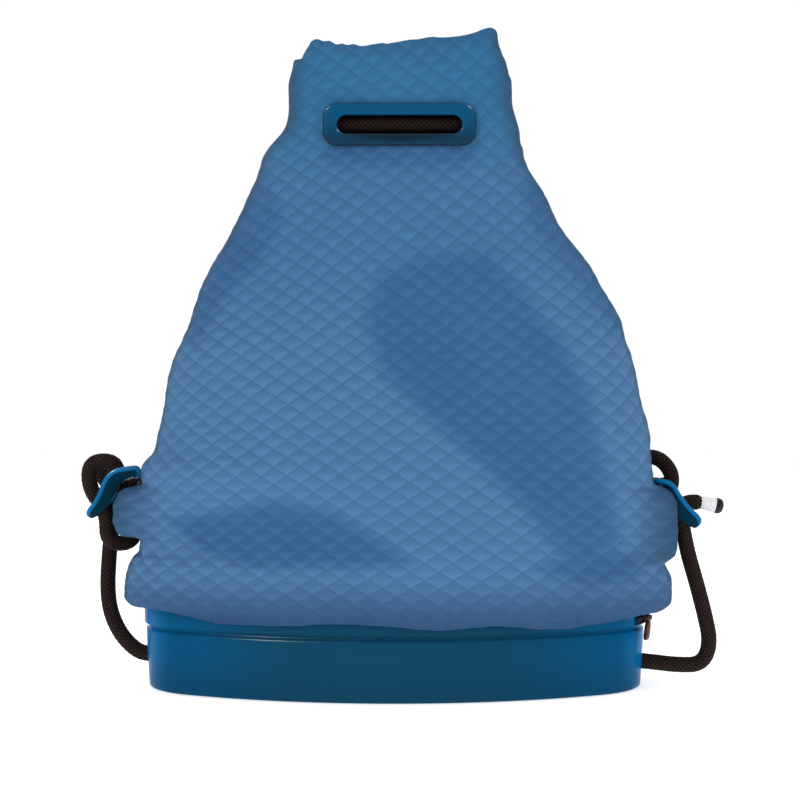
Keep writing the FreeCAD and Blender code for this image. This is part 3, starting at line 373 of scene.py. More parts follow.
def braidedRope():
    # the map layer counts the rope's strands, round it in X and along it in Y
    look = {"yarn": colour(58, 41, 36), "dark": colour(24, 16, 14), "fleck": colour(80, 56, 46)}
    finish = Finish("braided_rope", specular=0.15)
    strands = finish.mapLayer("strands")
    around = finish.axis("X", strands)
    along = finish.axis("Y", strands)
    rising = along + around
    falling = along - around
    over = ((rising.calc("FLOOR") + falling.calc("FLOOR")) * 0.5).calc("FRACT").calc("GREATER_THAN", 0.25)
    # the strand that lies on top at each place: how far across it and how far along it the place is
    top = finish.add("ShaderNodeMix", {"data_type": "FLOAT"},
                     {0: over, 2: rising.calc("FRACT"), 3: falling.calc("FRACT")})
    lengthwise = finish.add("ShaderNodeMix", {"data_type": "FLOAT"},
                            {0: over, 2: falling.calc("FRACT"), 3: rising.calc("FRACT")})
    crown = (top.calc("PINGPONG", 0.5) * 2.0) * (lengthwise.calc("PINGPONG", 0.5) * 2.0).calc("SQRT")
    yarn = (top * 3.0).calc("PINGPONG", 0.5) * 2.0
    fuzz = finish.noise(900.0, 3.0)
    flecks = finish.noise(260.0, 2.0).ramp(0.55, 0.68)
    # the yarn colour lies on each strand's crown, and the crevices between the strands take painted shade
    finish.tinted(look["dark"], [
        (crown.ramp(0.1, 0.9), look["yarn"]),
        (flecks * crown * 0.4, look["fleck"]),
        (fuzz * 0.25, look["dark"]),
    ])
    finish.give("Roughness", fuzz * 0.15 + 0.7)
    finish.bump(crown + yarn * 0.25 + fuzz * 0.25, 0.0006, 0.5)
    return finish.material


def metal(name, light, dark, roughness, scratch, metallic):
    finish = Finish(name, metallic=metallic)
    fine = finish.noise(scratch, 6.0, roughness=0.75)
    finish.tinted(dark, [(finish.noise(90.0, 4.0).ramp(0.3, 0.7), light)])
    finish.give("Roughness", fine * 0.2 + (roughness - 0.1))
    finish.bump(fine, 0.00008, 0.35)
    return finish.material


def sleeveMetal():
    # the near-white colour is a painted reflection of the white surroundings on the bright sleeve; its own map
    # counts the pressed rings along it, which are darker in their grooves
    finish = Finish("ferrule_metal", metallic=0.1)
    rings = finish.axis("Y", finish.mapLayer("rings"))
    groove = rings.calc("PINGPONG", 0.5).ramp(0.04, 0.16, 1.0, 0.0)
    nicks = finish.noise(1500.0, 3.0).ramp(0.5, 0.62)
    finish.tinted(colour(255, 255, 255), [(groove * (nicks * 0.7 + 0.3), colour(60, 56, 58))])
    finish.give("Roughness", nicks * 0.15 + 0.24)
    finish.bump(groove * -1.0 + nicks * 0.2, 0.00015, 0.6)
    return finish.material


finishes = {
    "quilt": quiltedCloth(),
    "lining": wovenCloth("lining_cloth", colour(46, 84, 120), colour(26, 50, 78), 420.0),
    "tape": wovenCloth("zip_tape_cloth", colour(16, 56, 84), colour(8, 32, 52), 620.0),
    "tray": trayPlastic(),
    "eyelet": eyeletPlastic(),
    "plate": platePlastic(),
    "board": mattPlastic("board_plastic", colour(52, 56, 62), colour(30, 33, 38), 0.55),
    "rope": braidedRope(),
    "ferrule": sleeveMetal(),
    "rivet": metal("rivet_metal", colour(20, 78, 112), colour(12, 56, 82), 0.42, 300.0, 0.3),
    "cap": mattPlastic("cap_plastic", colour(22, 20, 20), colour(8, 8, 8), 0.36),
    "coil": mattPlastic("coil_plastic", colour(24, 32, 46), colour(10, 14, 20), 0.4),
    "bronze": metal("bronze_metal", colour(96, 58, 46), colour(34, 20, 16), 0.34, 260.0, 0.85),
}
print("finishes made:", len(finishes))


# The rope
# In millimetres. The routes are the construction's own, but for three stretches that follow the photo more
# closely: the left strap's fold behind its plate, the tray's left hole, and the right tail's rise.

rope = {"radius": 5.1, "around": 56, "stepLength": 0.85, "strands": 9, "lay": 3.1, "relief": 0.42,
        "thinEnd": (6.5, 1.45)}
ropeRoutes = {
    "neck": [(23, 46, 366.3), (23, 22.5, 362.9), (58, 21.7, 363.8), (70.7, 9, 364.5), (70.7, -9, 364.5),
             (58, -21.7, 364.5), (33, -24.5, 365), (-25, -24.5, 365), (-51.5, -21.7, 364.5),
             (-64.3, -9, 364.5), (-64.3, 9, 364.5), (-51.5, 21.7, 363.8), (-17, 22.5, 362.9),
             (-17, 46, 366.3)],
    "rightStrap": [(23, 46, 366.3), (23, 57, 367.9), (27, 57.5, 349), (36, 59, 318), (50, 71, 280),
                   (68, 81, 235), (87, 88, 187), (104, 87, 142), (121, 80, 113), (139, 70, 104),
                   (154, 58, 111), (163, 46, 129), (167, 38, 147), (177, 31, 149), (186, 29.5, 141),
                   (188.5, 29.5, 130), (184, 30.5, 122)],
    "leftStrap": [(-17, 46, 366.3), (-17, 57, 367.9), (-21, 57.5, 349), (-30, 59, 318), (-44, 71, 280),
                  (-62, 81, 235), (-81, 88, 187), (-98, 87, 143), (-115, 80, 114), (-132, 71, 104),
                  (-147, 61, 106), (-158, 50, 119), (-169, 41, 130), (-184, 39, 129), (-195, 38, 133),
                  (-204, 34, 142), (-201, 28, 141), (-195.5, 24, 132.5), (-190, 21, 128.5), (-181, 16, 128.5),
                  (-184.5, 5, 130.8), (-184.3, 5, 146.5), (-203, 5, 146.5), (-203.2, 5, 128),
                  (-191.2, 5, 113), (-191.5, 5.5, 91.5), (-173.8, 14.5, 91.5), (-173.2, 16, 113.5),
                  (-189, 19, 113.5), (-190.5, 18.5, 100), (-192, 17.8, 81), (-192.2, 13, 62),
                  (-189.5, 8, 46), (-182, 4.5, 31.5), (-172, 2, 22), (-165, 0, 19.6), (-160.5, 0, 19.5)],
    "base": [(-160.5, 0, 19.5), (-53, 0, 15.2), (53, 0, 14.8), (160.5, 0, 15)],
    "rightLower": [(160.5, 0, 15), (172, 0, 13.8), (186, 0.5, 12), (203, 1.2, 12), (209, 2, 26),
                   (205, 3.2, 46), (199.6, 4, 67), (194.9, 4.7, 83), (191.5, 5, 99), (189.3, 5, 113),
                   (193.8, 5, 120.8), (206.5, 5, 118.3)],
}


def routeLine(points):
    # the smooth line of a NURBS spline with the route's points as control points
    data = bpy.data.curves.new("route", "CURVE")
    data.dimensions = "3D"
    data.resolution_u = 24
    spline = data.splines.new("NURBS")
    spline.points.add(len(points) - 1)
    for place, point in zip(spline.points, points):
        place.co = (*point, 1)
    spline.order_u = 3
    spline.use_endpoint_u = True
    holder = bpy.data.objects.new("route", data)
    bpy.context.collection.objects.link(holder)
    bpy.context.view_layer.update()
    mesh = bpy.data.meshes.new_from_object(holder)
    line = [tuple(vertex.co) for vertex in mesh.vertices]
    bpy.data.objects.remove(holder)
    bpy.data.meshes.remove(mesh)
    return line


def evenly(line, spacing):
    places = np.array(line)
    run = np.concatenate([[0], np.cumsum(np.linalg.norm(np.diff(places, axis=0), axis=1))])
    count = max(2, int(round(run[-1] / spacing)) + 1)
    wanted = np.linspace(0, run[-1], count)
    return np.stack([np.interp(wanted, run, places[:, axis]) for axis in range(3)], axis=1), wanted


def framesAlong(places):
    # a direction and two square directions at each place, carried along without twisting
    tangents = np.gradient(places, axis=0)
    tangents /= np.linalg.norm(tangents, axis=1)[:, None]
    side = np.cross(tangents[0], (0.31, 0.17, 0.93))
    sides = []
    for tangent in tangents:
        side = side - tangent * side.dot(tangent)
        side /= np.linalg.norm(side)
        sides.append(side)
    sides = np.array(sides)
    return sides, np.cross(tangents, sides)


def braidRelief(around, along):
    # two families of strands that pass over and under each other
    rising = along + around
    falling = along - around
    over = np.mod(np.floor(rising) + np.floor(falling), 2) > 0.5
    top = np.where(over, np.mod(falling, 1), np.mod(rising, 1))
    lengthwise = np.where(over, np.mod(rising, 1), np.mod(falling, 1))
    return np.sin(np.pi * top) ** 0.6 * (0.35 + 0.65 * np.sin(np.pi * lengthwise) ** 0.8)


def ringsAlong(line, columns):
    # places along a line and the directions all round it at each of them
    places, run = evenly(line, rope["stepLength"])
    sides, others = framesAlong(places)
    turn = np.linspace(0, 2 * np.pi, columns + 1)
    ring = sides[:, None, :] * np.cos(turn)[None, :, None] + others[:, None, :] * np.sin(turn)[None, :, None]
    return places, run, ring


def braidedTube(name, line, nodes, columns=rope["around"], radius=rope["radius"], thinEnd=None):
    # thinEnd says how far before its end the rope grows thinner, and by how much
    places, run, ring = ringsAlong(line, columns)
    strandsRound = np.linspace(0, rope["strands"], columns + 1)
    relief = braidRelief(strandsRound[None, :], (run / rope["lay"])[:, None])
    thick = radius + rope["relief"] * (relief - 0.7)
    if thinEnd:
        thick = thick - step(run, run[-1] - thinEnd[0], run[-1] - thinEnd[0] / 3)[:, None] * thinEnd[1]
    points = (places[:, None, :] + ring * thick[:, :, None]) * mm
    piece = surfacePiece(name, points, "strands", (rope["strands"], run[-1] / rope["lay"]), fill=True)
    finished(piece, finishes["rope"], nodes=nodes, angle=None)
    print(name, "length", round(run[-1], 1), "mm in", len(places), "rings")
    return piece, [tuple(place) for place in places * mm], round(run[-1] * mm, 4)


braidedTube("rope_through_neck", routeLine(ropeRoutes["neck"]), ["rope_neck_run"])
braidedTube("rope_through_base", routeLine(ropeRoutes["base"]), ["rope_base_run"], 32)
leftNodes = ["rope_left_strap", "rope_left_hitch", "rope_left_lower"]
leftRope, leftPath, leftLength = braidedTube("rope_left", routeLine(ropeRoutes["leftStrap"]), leftNodes)
rightRope, rightPath, rightLength = braidedTube("rope_right", routeLine(ropeRoutes["rightStrap"]),
                                                ["rope_right_strap"])
tailRope, tailPath, tailLength = braidedTube("rope_right_tail", routeLine(ropeRoutes["rightLower"]),
                                             ["rope_right_lower"], thinEnd=rope["thinEnd"])

# the knot: the same rope drawn up in a tight trefoil
knot = {"centre": (180.0, 31.3, 126.3), "size": 2.1, "radius": 4.6}
angle = np.linspace(0.02, 0.98, 200) * 2 * np.pi
trefoil = np.stack([np.sin(angle) + 1.7 * np.sin(2 * angle), -1.25 * np.sin(3 * angle),
                    np.cos(angle) - 1.7 * np.cos(2 * angle)], axis=1) * knot["size"] + knot["centre"]
knotBall = braidedTube("rope_knot", trefoil, ["rope_right_knot"], 40, knot["radius"])[0]


def turnedPiece(name, profile, finish, nodes, rings=1, layer="UVMap"):
    # a piece turned about the rope's tail: its profile gives distances along it and radii
    start = np.array(tail["start"])
    along = np.array(tail["towards"]) - start
    along /= np.linalg.norm(along)
    side = np.cross(along, (0.0, 1.0, 0.0))
    side /= np.linalg.norm(side)
    other = np.cross(along, side)
    turn = np.linspace(0, 2 * np.pi, 65)
    ring = side[None, :] * np.cos(turn)[:, None] + other[None, :] * np.sin(turn)[:, None]
    rows = [start + along * distance + ring * radius for distance, radius in profile]
    piece = surfacePiece(name, np.array(rows) * mm, layer, (1, rings), fill=True)
    return finished(piece, finish, nodes=nodes, angle=50)


# the sleeve pressed on the rope's tail, wider at its far end, and the cap over that end
tail = {"start": (200.8, 5, 119.4), "towards": (206.5, 5, 118.28), "sleeve": 12.0, "narrow": 3.7, "wide": 5.1,
        "rings": 11, "ripple": 0.28}
sleeveProfile = [(0.0, 2.6), (0.0, 3.5)]
for distance in np.linspace(0.1, tail["sleeve"], 12 * tail["rings"] + 1):
    wave = abs(math.sin(math.pi * distance / tail["sleeve"] * tail["rings"])) ** 0.5
    widen = tail["narrow"] + (tail["wide"] - tail["narrow"]) * (distance / tail["sleeve"]) ** 0.8
    sleeveProfile.append((distance, widen - tail["ripple"] * (1 - wave)))
sleeveProfile.append((tail["sleeve"], 3.4))
ferrule = turnedPiece("ferrule", sleeveProfile, finishes["ferrule"], ["rope_ferrule"],
                      tail["rings"] * 1.02, "rings")
# distances along the tail, and radii
capProfile = [(10.5, 0.4), (10.5, 3.3), (12.05, 3.3), (12.1, 5.0), (12.5, 5.2), (14.2, 5.2), (15.6, 4.7),
              (16.6, 3.7), (17.2, 2.3), (17.4, 0.9), (17.4, 0.3)]
capPiece = turnedPiece("end_cap", capProfile, finishes["cap"], ["rope_end_cap"])
print("rope laid")


# The moulded tray

tray = {"halfWide": 164.0, "halfDeep": 80.0, "endRadius": 50.0,
        # below the groove only the ends lean in, and their turn is wider at the foot
        "groove": 37.0, "wall": 5.0, "lean": 2.4, "footTurn": 7.0,
        # the rope's hole in each end: how high it lies
        "holes": {-1: 19.5, 1: 15.0}, "holeRadius": 6.0, "holeOut": 160.0, "holeDepth": 24.0,
        "ribOut": 23.5, "ribLevel": 13.4, "ribSize": (230.0, 3.0, 21.0),
        # inset from the rim's line and height, from under the tray, up its outside and down its inside
        "profile": [(40, 0), (12, 0), (4.6, 0), (3.4, 0.2), (2.7, 0.7), (2.4, 1.4), (2.25, 3.6), (1.7, 12),
                    (0.6, 30), (0.25, 36.8), (0.3, 37.6), (0.75, 38.35), (1.5, 38.8), (2.0, 39.5),
                    (2.0, 40.5), (1.6, 41.1), (0.2, 41.45), (-0.7, 41.7), (-1.0, 42.4), (-1.0, 50),
                    (-1.0, 58.9), (-0.7, 59.7), (0.0, 60.0), (4.3, 60.0), (5.2, 59.7), (5.5, 58.9),
                    (5.5, 30), (5.5, 5), (6.1, 3.5), (7.6, 3.0), (20, 3.0), (40, 3.0)]}


def ovalLoop(halfWide, halfDeep, radius, ends=40, longs=120):
    reach = halfWide - radius
    longRadius = (reach ** 2 + halfDeep ** 2 - radius ** 2) / (2 * (halfDeep - radius))
    drop = longRadius - halfDeep
    turn = math.atan2(drop, reach)
    end = np.linspace(-turn, turn, ends + 1)[:-1]
    long = np.linspace(turn, math.pi - turn, longs + 1)[:-1]
    endX, endY = reach + radius * np.cos(end), radius * np.sin(end)
    longX, longY = longRadius * np.cos(long), longRadius * np.sin(long) - drop
    x = np.concatenate([endX, longX, -endX, -longX, endX[:1]])
    y = np.concatenate([endY, longY, -endY, -longY, endY[:1]])
    return x, y


def trayShell():
    rows = []
    for inset, height in tray["profile"]:
        deepInset, radius = inset, tray["endRadius"] - inset
        if height < tray["groove"] and inset < tray["wall"]:
            deepInset = max(0.0, inset - tray["lean"]) * 0.5
            radius += tray["footTurn"] * (1 - height / tray["groove"])
        x, y = ovalLoop(tray["halfWide"] - inset, tray["halfDeep"] - deepInset, radius)
        rows.append(np.stack([x, y, np.full_like(x, height)], axis=1))
    return surfacePiece("moulded_tray", np.array(rows) * mm, fill=True)


def drillHole(piece, side, height):
    place = (side * tray["holeOut"] * mm, 0, height * mm)
    bpy.ops.mesh.primitive_cylinder_add(vertices=48, radius=tray["holeRadius"] * mm,
                                        depth=tray["holeDepth"] * mm, location=place,
                                        rotation=(0, math.pi / 2, 0))
    drill = bpy.context.object
    applied(piece, "BOOLEAN", operation="DIFFERENCE", object=drill)
    bpy.data.objects.remove(drill)


def addRib(piece, side):
    # a rib inside the tray, which the floor board lies on
    bpy.ops.mesh.primitive_cube_add(size=1, location=(0, side * tray["ribOut"] * mm, tray["ribLevel"] * mm))
    rib = bpy.context.object
    rib.scale = [part * mm for part in tray["ribSize"]]
    only(rib)
    bpy.ops.object.transform_apply(location=True, rotation=True, scale=True)
    piece.select_set(True)
    bpy.context.view_layer.objects.active = piece
    bpy.ops.object.join()


trayPiece = trayShell()
for side, height in tray["holes"].items():
    drillHole(trayPiece, side, height)
for side in (-1, 1):
    addRib(trayPiece, side)
finished(trayPiece, finishes["tray"], nodes=["base_tray"], angle=38)
print("tray moulded")


# The plates: flat rings with rounded edges, laid flat or bent along a line

plateThick = 3.2


def roundedLoop(halfLong, halfHigh, radius, shift=0.0, corner=20, longSide=70, shortSide=16):
    # corner points of a quarter turn, then the points of a straight side, four times over
    reach = np.array([halfLong, halfHigh]) - radius
    signs = [(1, 1), (-1, 1), (-1, -1), (1, -1)]
    turns = [np.linspace(0, math.pi / 2, corner) + number * math.pi / 2 for number in range(4)]
    corners = [reach * sign + radius * np.stack([np.cos(turn), np.sin(turn)], axis=1)
               for sign, turn in zip(signs, turns)]
    loop = []
    for number in range(4):
        loop.append(corners[number])
        count = longSide if number % 2 == 0 else shortSide
        loop.append(np.linspace(corners[number][-1], corners[(number + 1) % 4][0], count + 2)[1:-1])
    loop.append(loop[0][:1])
    return np.concatenate(loop) + (shift, 0)


def ringPlate(name, outer, inner, place, nodes, finish, outside=1):
    # outer and inner are loops of as many points; place lays (along, across, height) in the frame;
    # outside is the side of the flat plate that is turned away from the cloth
    edge = plateThick / 2
    way = outer - inner
    way /= np.linalg.norm(way, axis=1)[:, None]
    turn = np.radians(np.linspace(-90, 90, 9))
    parts = (0.3, 0.55, 0.8)

    def rounded(rim, inwards, angles):
        return [(rim + inwards * edge * (1 - math.cos(angle)), edge * math.sin(angle)) for angle in angles]

    def flat(shares, height):
        return [(inner + way * edge + (outer - inner - 2 * way * edge) * share, height) for share in shares]

    rows = rounded(inner, way, turn) + flat(parts, edge) + rounded(outer, -way, turn[::-1])
    rows += flat(parts[::-1], -edge)
    rows.append(rows[0])
    points = np.array([place(spots[:, 0], spots[:, 1], np.full(len(spots), height * outside))
                       for spots, height in rows])
    return finished(surfacePiece(name, points * mm), finish, nodes=nodes, angle=60)


eyelet = {"middle": (3.0, 34.75, 363.3), "tilt": math.radians(8.33),
          # half length, half height and corner radius of the plate and of its slot
          "outer": (49.0, 14.2, 9.0), "inner": (40.0, 6.1, 6.1),
          # half length and half height of the openings in the cloth and in its lining, which the plate covers
          "clothSlot": (44.0, 9.5), "liningSlot": (47.0, 12.0), "coverLevel": 364.0, "coverHalf": 15.0}


def onNeck(side):
    def place(along, across, height):
        lean, tilt = height + plateThick / 2, eyelet["tilt"]
        x = eyelet["middle"][0] - side * along
        y = side * (eyelet["middle"][1] + lean * math.cos(tilt) - across * math.sin(tilt))
        z = eyelet["middle"][2] + across * math.cos(tilt) + lean * math.sin(tilt)
        return np.stack([x, y, z], axis=1)
    return place


for side, name in ((-1, "front_eyelet"), (1, "back_eyelet")):
    ringPlate(name, roundedLoop(*eyelet["outer"]), roundedLoop(*eyelet["inner"]), onNeck(side),
              [name + "_plate"], finishes["eyelet"])


bent = {"halfWide": 15.0, "corner": 7.0, "slotHalf": 6.0, "middle": 5.0, "rounding": 0.46,
        # across the plate: where its flared front edge begins and where it ends
        "flare": (-5.0, -15.0)}


def alongProfile(corners, drops):
    # bends a flat plate along a line in the XZ plane; drops says how far its middle lies nearer to the
    # cloth than its flared front edge, at even steps along the line
    corners = np.array(corners, dtype=float)
    line = [corners[0]]
    for before, corner, after in zip(corners[:-2], corners[1:-1], corners[2:]):
        reach = bent["rounding"] * min(np.linalg.norm(before - corner), np.linalg.norm(after - corner))
        first = corner + (before - corner) / np.linalg.norm(before - corner) * reach
        last = corner + (after - corner) / np.linalg.norm(after - corner) * reach
        for part in np.linspace(0, 1, 16):
            line.append(first * (1 - part) ** 2 + 2 * corner * part * (1 - part) + last * part ** 2)
    line.append(corners[-1])
    line = np.array(line)
    run = np.concatenate([[0], np.cumsum(np.linalg.norm(np.diff(line, axis=0), axis=1))])
    fine = np.linspace(0, run[-1], 400)
    fineX, fineZ = np.interp(fine, run, line[:, 0]), np.interp(fine, run, line[:, 1])
    slopeX, slopeZ = np.gradient(fineX, fine), np.gradient(fineZ, fine)
    size = np.hypot(slopeX, slopeZ)

    def place(along, across, height):
        spot = np.clip(along + run[-1] / 2, 0, run[-1])
        wayX, wayZ = np.interp(spot, fine, slopeX / size), np.interp(spot, fine, slopeZ / size)
        drop = np.interp(spot / run[-1], np.linspace(0, 1, len(drops)), drops)
        lift = height - drop * step(across, bent["flare"][1], bent["flare"][0])
        x = np.interp(spot, fine, fineX) - wayZ * lift
        z = np.interp(spot, fine, fineZ) + wayX * lift
        return np.stack([x, across + bent["middle"], z], axis=1)
    return place, line, run


def ropePlate(name, node, corners, slot, drops):
    # slot is where the slot begins and ends on the plate's line
    place, line, run = alongProfile(corners, drops)
    low, high = sorted(run[np.argmin(np.hypot(*(line - np.array(spot)).T))] - run[-1] / 2 for spot in slot)
    outer = roundedLoop(run[-1] / 2, bent["halfWide"], bent["corner"])
    slotHalf = bent["slotHalf"]
    inner = roundedLoop((high - low) / 2 + slotHalf, slotHalf, slotHalf, (high + low) / 2)
    ringPlate(name, outer, inner, place, [node], finishes["plate"], 1 if drops[1] > 0 else -1)


ropePlate("left_plate", "left_rope_plate",
          [(-203.8, 111.4), (-196.2, 119.6), (-187.6, 140.4), (-168.3, 143.0), (-166.6, 136.5)],
          ((-195.6, 120.2), (-186.5, 138.5)), (3.0, 6.5, 8.0, 7.5, 5.0, 4.5))
ropePlate("right_plate", "right_rope_plate", [(202.8, 106.6), (191.0, 117.6), (180.8, 133.6), (168.0, 134.2)],
          ((192.0, 116.8), (184.6, 128.0)), (-5.0, -8.0, -6.5, -4.5, -2.5))
print("plates bent")


# The sack

sack = {
    # heights and how far the side seams reach there, to the left and to the right, in millimetres
    "left": [(40, 160), (47, 164), (50.2, 166.5), (51.5, 170), (52.8, 173.4), (54.1, 176), (58.8, 178.4),
             (68, 177.9), (77.3, 175.9), (84.5, 172.4), (88, 168.6), (91.5, 168.4), (100, 167), (125, 166),
             (131, 166.2), (137, 167.6), (143.4, 166.9), (148.7, 162.8), (154, 158.6), (160, 157),
             (171, 154), (191, 151.5), (207, 147.5), (218, 144.5), (228, 140), (238, 135), (249, 131.5),
             (260, 128.8), (270, 124), (286, 113.8), (302, 106.5), (315, 99.3), (328, 93.4), (338, 90.4),
             (345, 88.4), (351, 84.8), (357, 79.4), (364, 73.6), (371, 71.4), (381, 70.8), (392, 70.2),
             (399, 69), (404.5, 67.9), (411, 67), (438, 62)],
    "right": [(40, 164), (46.6, 168), (48.6, 174), (52.4, 180.4), (57, 182.4), (67.6, 182.4), (75, 180.2),
              (79.5, 177.6), (87, 174.6), (100, 172.6), (125, 171.3), (148, 168.8), (160, 168), (171, 166),
              (191, 161.5), (207, 157.5), (218, 155.3), (228, 152), (238, 149), (249, 143.2), (260, 137.5),
              (270, 132), (286, 119.8), (302, 109), (315, 102), (328, 95), (341, 88), (347, 85.5),
              (352, 84.5), (357, 82.3), (366, 81.6), (380, 78.5), (391, 77), (398, 76.4), (401.6, 74.8),
              (408.4, 74.4), (414.5, 72.8), (420.5, 70.2), (426, 70), (438, 68)],
    # heights, and half the sack's depth there
    "depths": [(40, 81.5), (48.5, 85.5), (65, 90), (88, 91), (125, 90), (168, 85), (215, 76), (262, 63),
               (310, 48), (343, 38.5), (366, 34), (396, 31.5), (438, 27.5)],
    # how round the ends are, low and high, and over what heights that changes
    "round": (0.62, 0.95), "roundFrom": 48.5, "roundOver": 317.5,
    # the diamonds' height and their lines' depth, how far the back half is tucked in at the seams and the
    # lobes are pulled forward, and the back's hem
    "relief": 1.75, "sink": 0.9, "tuck": 1.3, "forward": 6.5, "backHem": 48.3,
    # how far each row of the turned-in edge lies inwards and back, and where the hem ends and the mouth begins
    "turned": ((0.9, 0.35), (1.2, 1.2), (0.9, 3.0), (0.2, 8.0)),
    "hemTo": 57.0, "mouthFrom": 380.0, "mouthDeep": 9.0,
}
# the stitch lines: each count is a sum over the flat cloth's place across and up, from the height "level"
quilting = {"level": 187.0, "spread": 0.4, "down": (0.0645, -0.0883, -2.53e-5, 7.2e-5, 2.4e-5),
            "up": (0.0577, 0.0888, 8.6e-6, -1.76e-5, -2.83e-5), "perAcross": 0.122, "perHigh": 0.177}
# the front's top edge, left to right: distance from the middle and height
topFront = [(-90, 380), (-71, 400), (-68.6, 406), (-67.4, 409.8), (-66.6, 410.1), (-61.2, 409.2),
            (-60.4, 409.6), (-58.2, 414), (-56.6, 416.8), (-54.6, 419.3), (-50.8, 420.3), (-46.1, 418.9),
            (-42.1, 418.8), (-38, 416.4), (-34.1, 416.9), (-30.3, 415.5), (-26.4, 416.3), (-21.6, 414.9),
            (-15.7, 416), (-7.7, 416.9), (-5.2, 416.1), (-3.2, 416.9), (5.4, 418.3), (12, 419.2),
            (25, 420.8), (37, 421), (45, 422.6), (51.5, 424.3), (57.5, 427.3), (62.8, 429.2), (65.6, 428.2),
            (67.4, 425), (68.5, 419.8), (69.3, 415.8), (71.4, 412), (73, 407.5), (74.8, 401.5), (77, 395),
            (82, 385), (95, 375)]
topBack = [(-90, 380), (-73, 394), (-68, 400), (-60, 409), (-50, 413.5), (-30, 413), (0, 411), (30, 413),
           (50, 417), (60, 418), (67, 412), (75, 398), (95, 375)]
# the front's hem over the tray: distance from the middle and height
hemFront = [(-190, 51.0), (-168, 52.6), (-158, 53.4), (-141, 52.0), (-122, 48.2), (-107.5, 46.4),
            (-93, 46.6), (-65, 47.2), (-37, 49.1), (-20, 48.8), (-8, 48.2), (5, 47.2), (18, 45.8),
            (30, 45.2), (44, 46.2), (60, 47.1), (72, 46.5), (84, 44.7), (95, 43.6), (106, 43.4),
            (124, 45.0), (146, 46.6), (155, 48.6), (165, 49.0), (172, 47.8), (190, 46.4)]
# the cloth lobes that the rope plates pull out of the front at both sides: height and how far they reach
lobes = {
    -1: {"tips": [(40, 0), (96.2, 0), (96.9, 175), (98.4, 180.6), (100.6, 183.2), (105.5, 185.2),
                  (113.4, 185.6), (119.3, 185.0), (125, 182.6), (128.4, 178.4), (130.2, 172.5),
                  (131.6, 165), (450, 0)],
         "fade": 42.0},
    1: {"tips": [(40, 0), (79.7, 0), (80.4, 178.8), (81.6, 181), (83.4, 183.4), (86.3, 185.2), (95, 186),
                 (101.4, 186.2), (112, 186), (119.5, 185.6), (124, 183.8), (127.4, 181), (129.8, 177.4),
                 (131.3, 173.6), (132, 170), (450, 0)],
        "fade": 40.0},
}
# broad soft folds of the front: from, to, width, depth, in millimetres as seen from the front
folds = [((-8, 268), (38, 225), 28, 3.4), ((38, 225), (92, 158), 30, 3.0), ((92, 158), (118, 122), 24, 2.0),
         ((-104, 300), (-78, 262), 16, 2.4), ((-128, 106), (-60, 110), 18, 3.0),
         ((-60, 110), (-34, 98), 16, 2.0), ((100, 86), (150, 92), 20, 2.6), ((70, 345), (76, 395), 12, 2.0),
         ((-62, 345), (-66, 395), 10, 1.8), ((84, 300), (120, 255), 16, 1.6),
         ((20, 330), (44, 300), 12, 0.8)]
bulges = [((-60, 180), (-20, 150), 40, 3.2), ((110, 210), (130, 175), 22, 2.2),
          ((-20, 320), (-30, 290), 26, 2.5), ((10, 85), (50, 95), 26, 2.5),
          ((-118, 80), (-140, 76), 20, 1.5), ((-100, 215), (-80, 170), 26, 1.5)]
# where painted shade and shadow darken the front's cloth, such as the folds' shade and the eyelet plate's
# shadow below it: outline, softness of its edge and strength
shades = [
    ([(18, 280), (60, 280), (80, 257), (106, 221), (121, 190), (130, 155), (136, 128), (144, 97), (126, 84),
      (112, 82), (96, 98), (78, 122), (53, 147), (20, 176), (-7, 202), (-19, 238), (-9, 265)], 9, 0.9),
    ([(-146, 112), (-126, 114), (-110, 118), (-71, 125), (-34, 117), (-3, 98), (11, 87), (-20, 85),
      (-46, 85), (-90, 83), (-122, 93)], 6, 0.9),
    ([(-80, 326), (-71, 303), (-77, 287), (-93, 268), (-110, 248), (-126, 222), (-145, 228), (-135, 258),
      (-118, 290), (-96, 326)], 6, 0.75),
    ([(80, 324), (87, 303), (97, 287), (113, 268), (132, 245), (140, 232), (158, 226), (158, 262),
      (122, 302), (96, 334)], 6, 0.75),
    ([(88, 83), (110, 91), (135, 93), (160, 88), (152, 74), (120, 70)], 6, 0.9),
    ([(-46, 350), (54, 350), (52, 340), (40, 335), (-34, 335), (-46, 340)], 6, 0.75),
    ([(-8, 413), (42, 416), (38, 404), (-2, 402)], 5, 0.5),
]

reachTo = {-1: smoothLine(*zip(*sack["left"])), 1: smoothLine(*zip(*sack["right"]))}
halfDepth = smoothLine(*zip(*sack["depths"]))
topLines = {-1: smoothLine(*zip(*topFront)), 1: smoothLine(*zip(*topBack))}
hemLine = smoothLine(*zip(*hemFront))
lobeTips = {side: smoothLine(*zip(*lobes[side]["tips"])) for side in (-1, 1)}


def levelNumbers(z):
    # at each height the sack's plan has two end arcs and two long arcs: its middle, the end arc's centre
    # and radius, the long arc's radius and how far its centre lies off, the angle where the arcs meet,
    # and the runs to there and to the seam
    left, right, deep = reachTo[-1](z), reachTo[1](z), halfDepth(z)
    low, high = sack["round"]
    radius = deep * (low + (high - low) * np.clip((z - sack["roundFrom"]) / sack["roundOver"], 0, 1))
    reach = (left + right) / 2 - radius
    longRadius = (reach ** 2 + deep ** 2 - radius ** 2) / (2 * (deep - radius))
    drop = longRadius - deep
    turn = np.arctan2(drop, reach)
    longRun = longRadius * (np.pi / 2 - turn)
    return (right - left) / 2, reach, radius, longRadius, drop, turn, longRun, longRun + radius * turn


def lobeReach(s, z):
    # how far the lobe stands out beyond the plain sack at this height
    left = np.maximum(lobeTips[-1](z) - reachTo[-1](z), 0)
    right = np.maximum(lobeTips[1](z) - reachTo[1](z), 0)
    return np.where(s < 0, left, right)


def hemAt(which, x):
    return hemLine(x) if which < 0 else np.full_like(x, sack["backHem"])


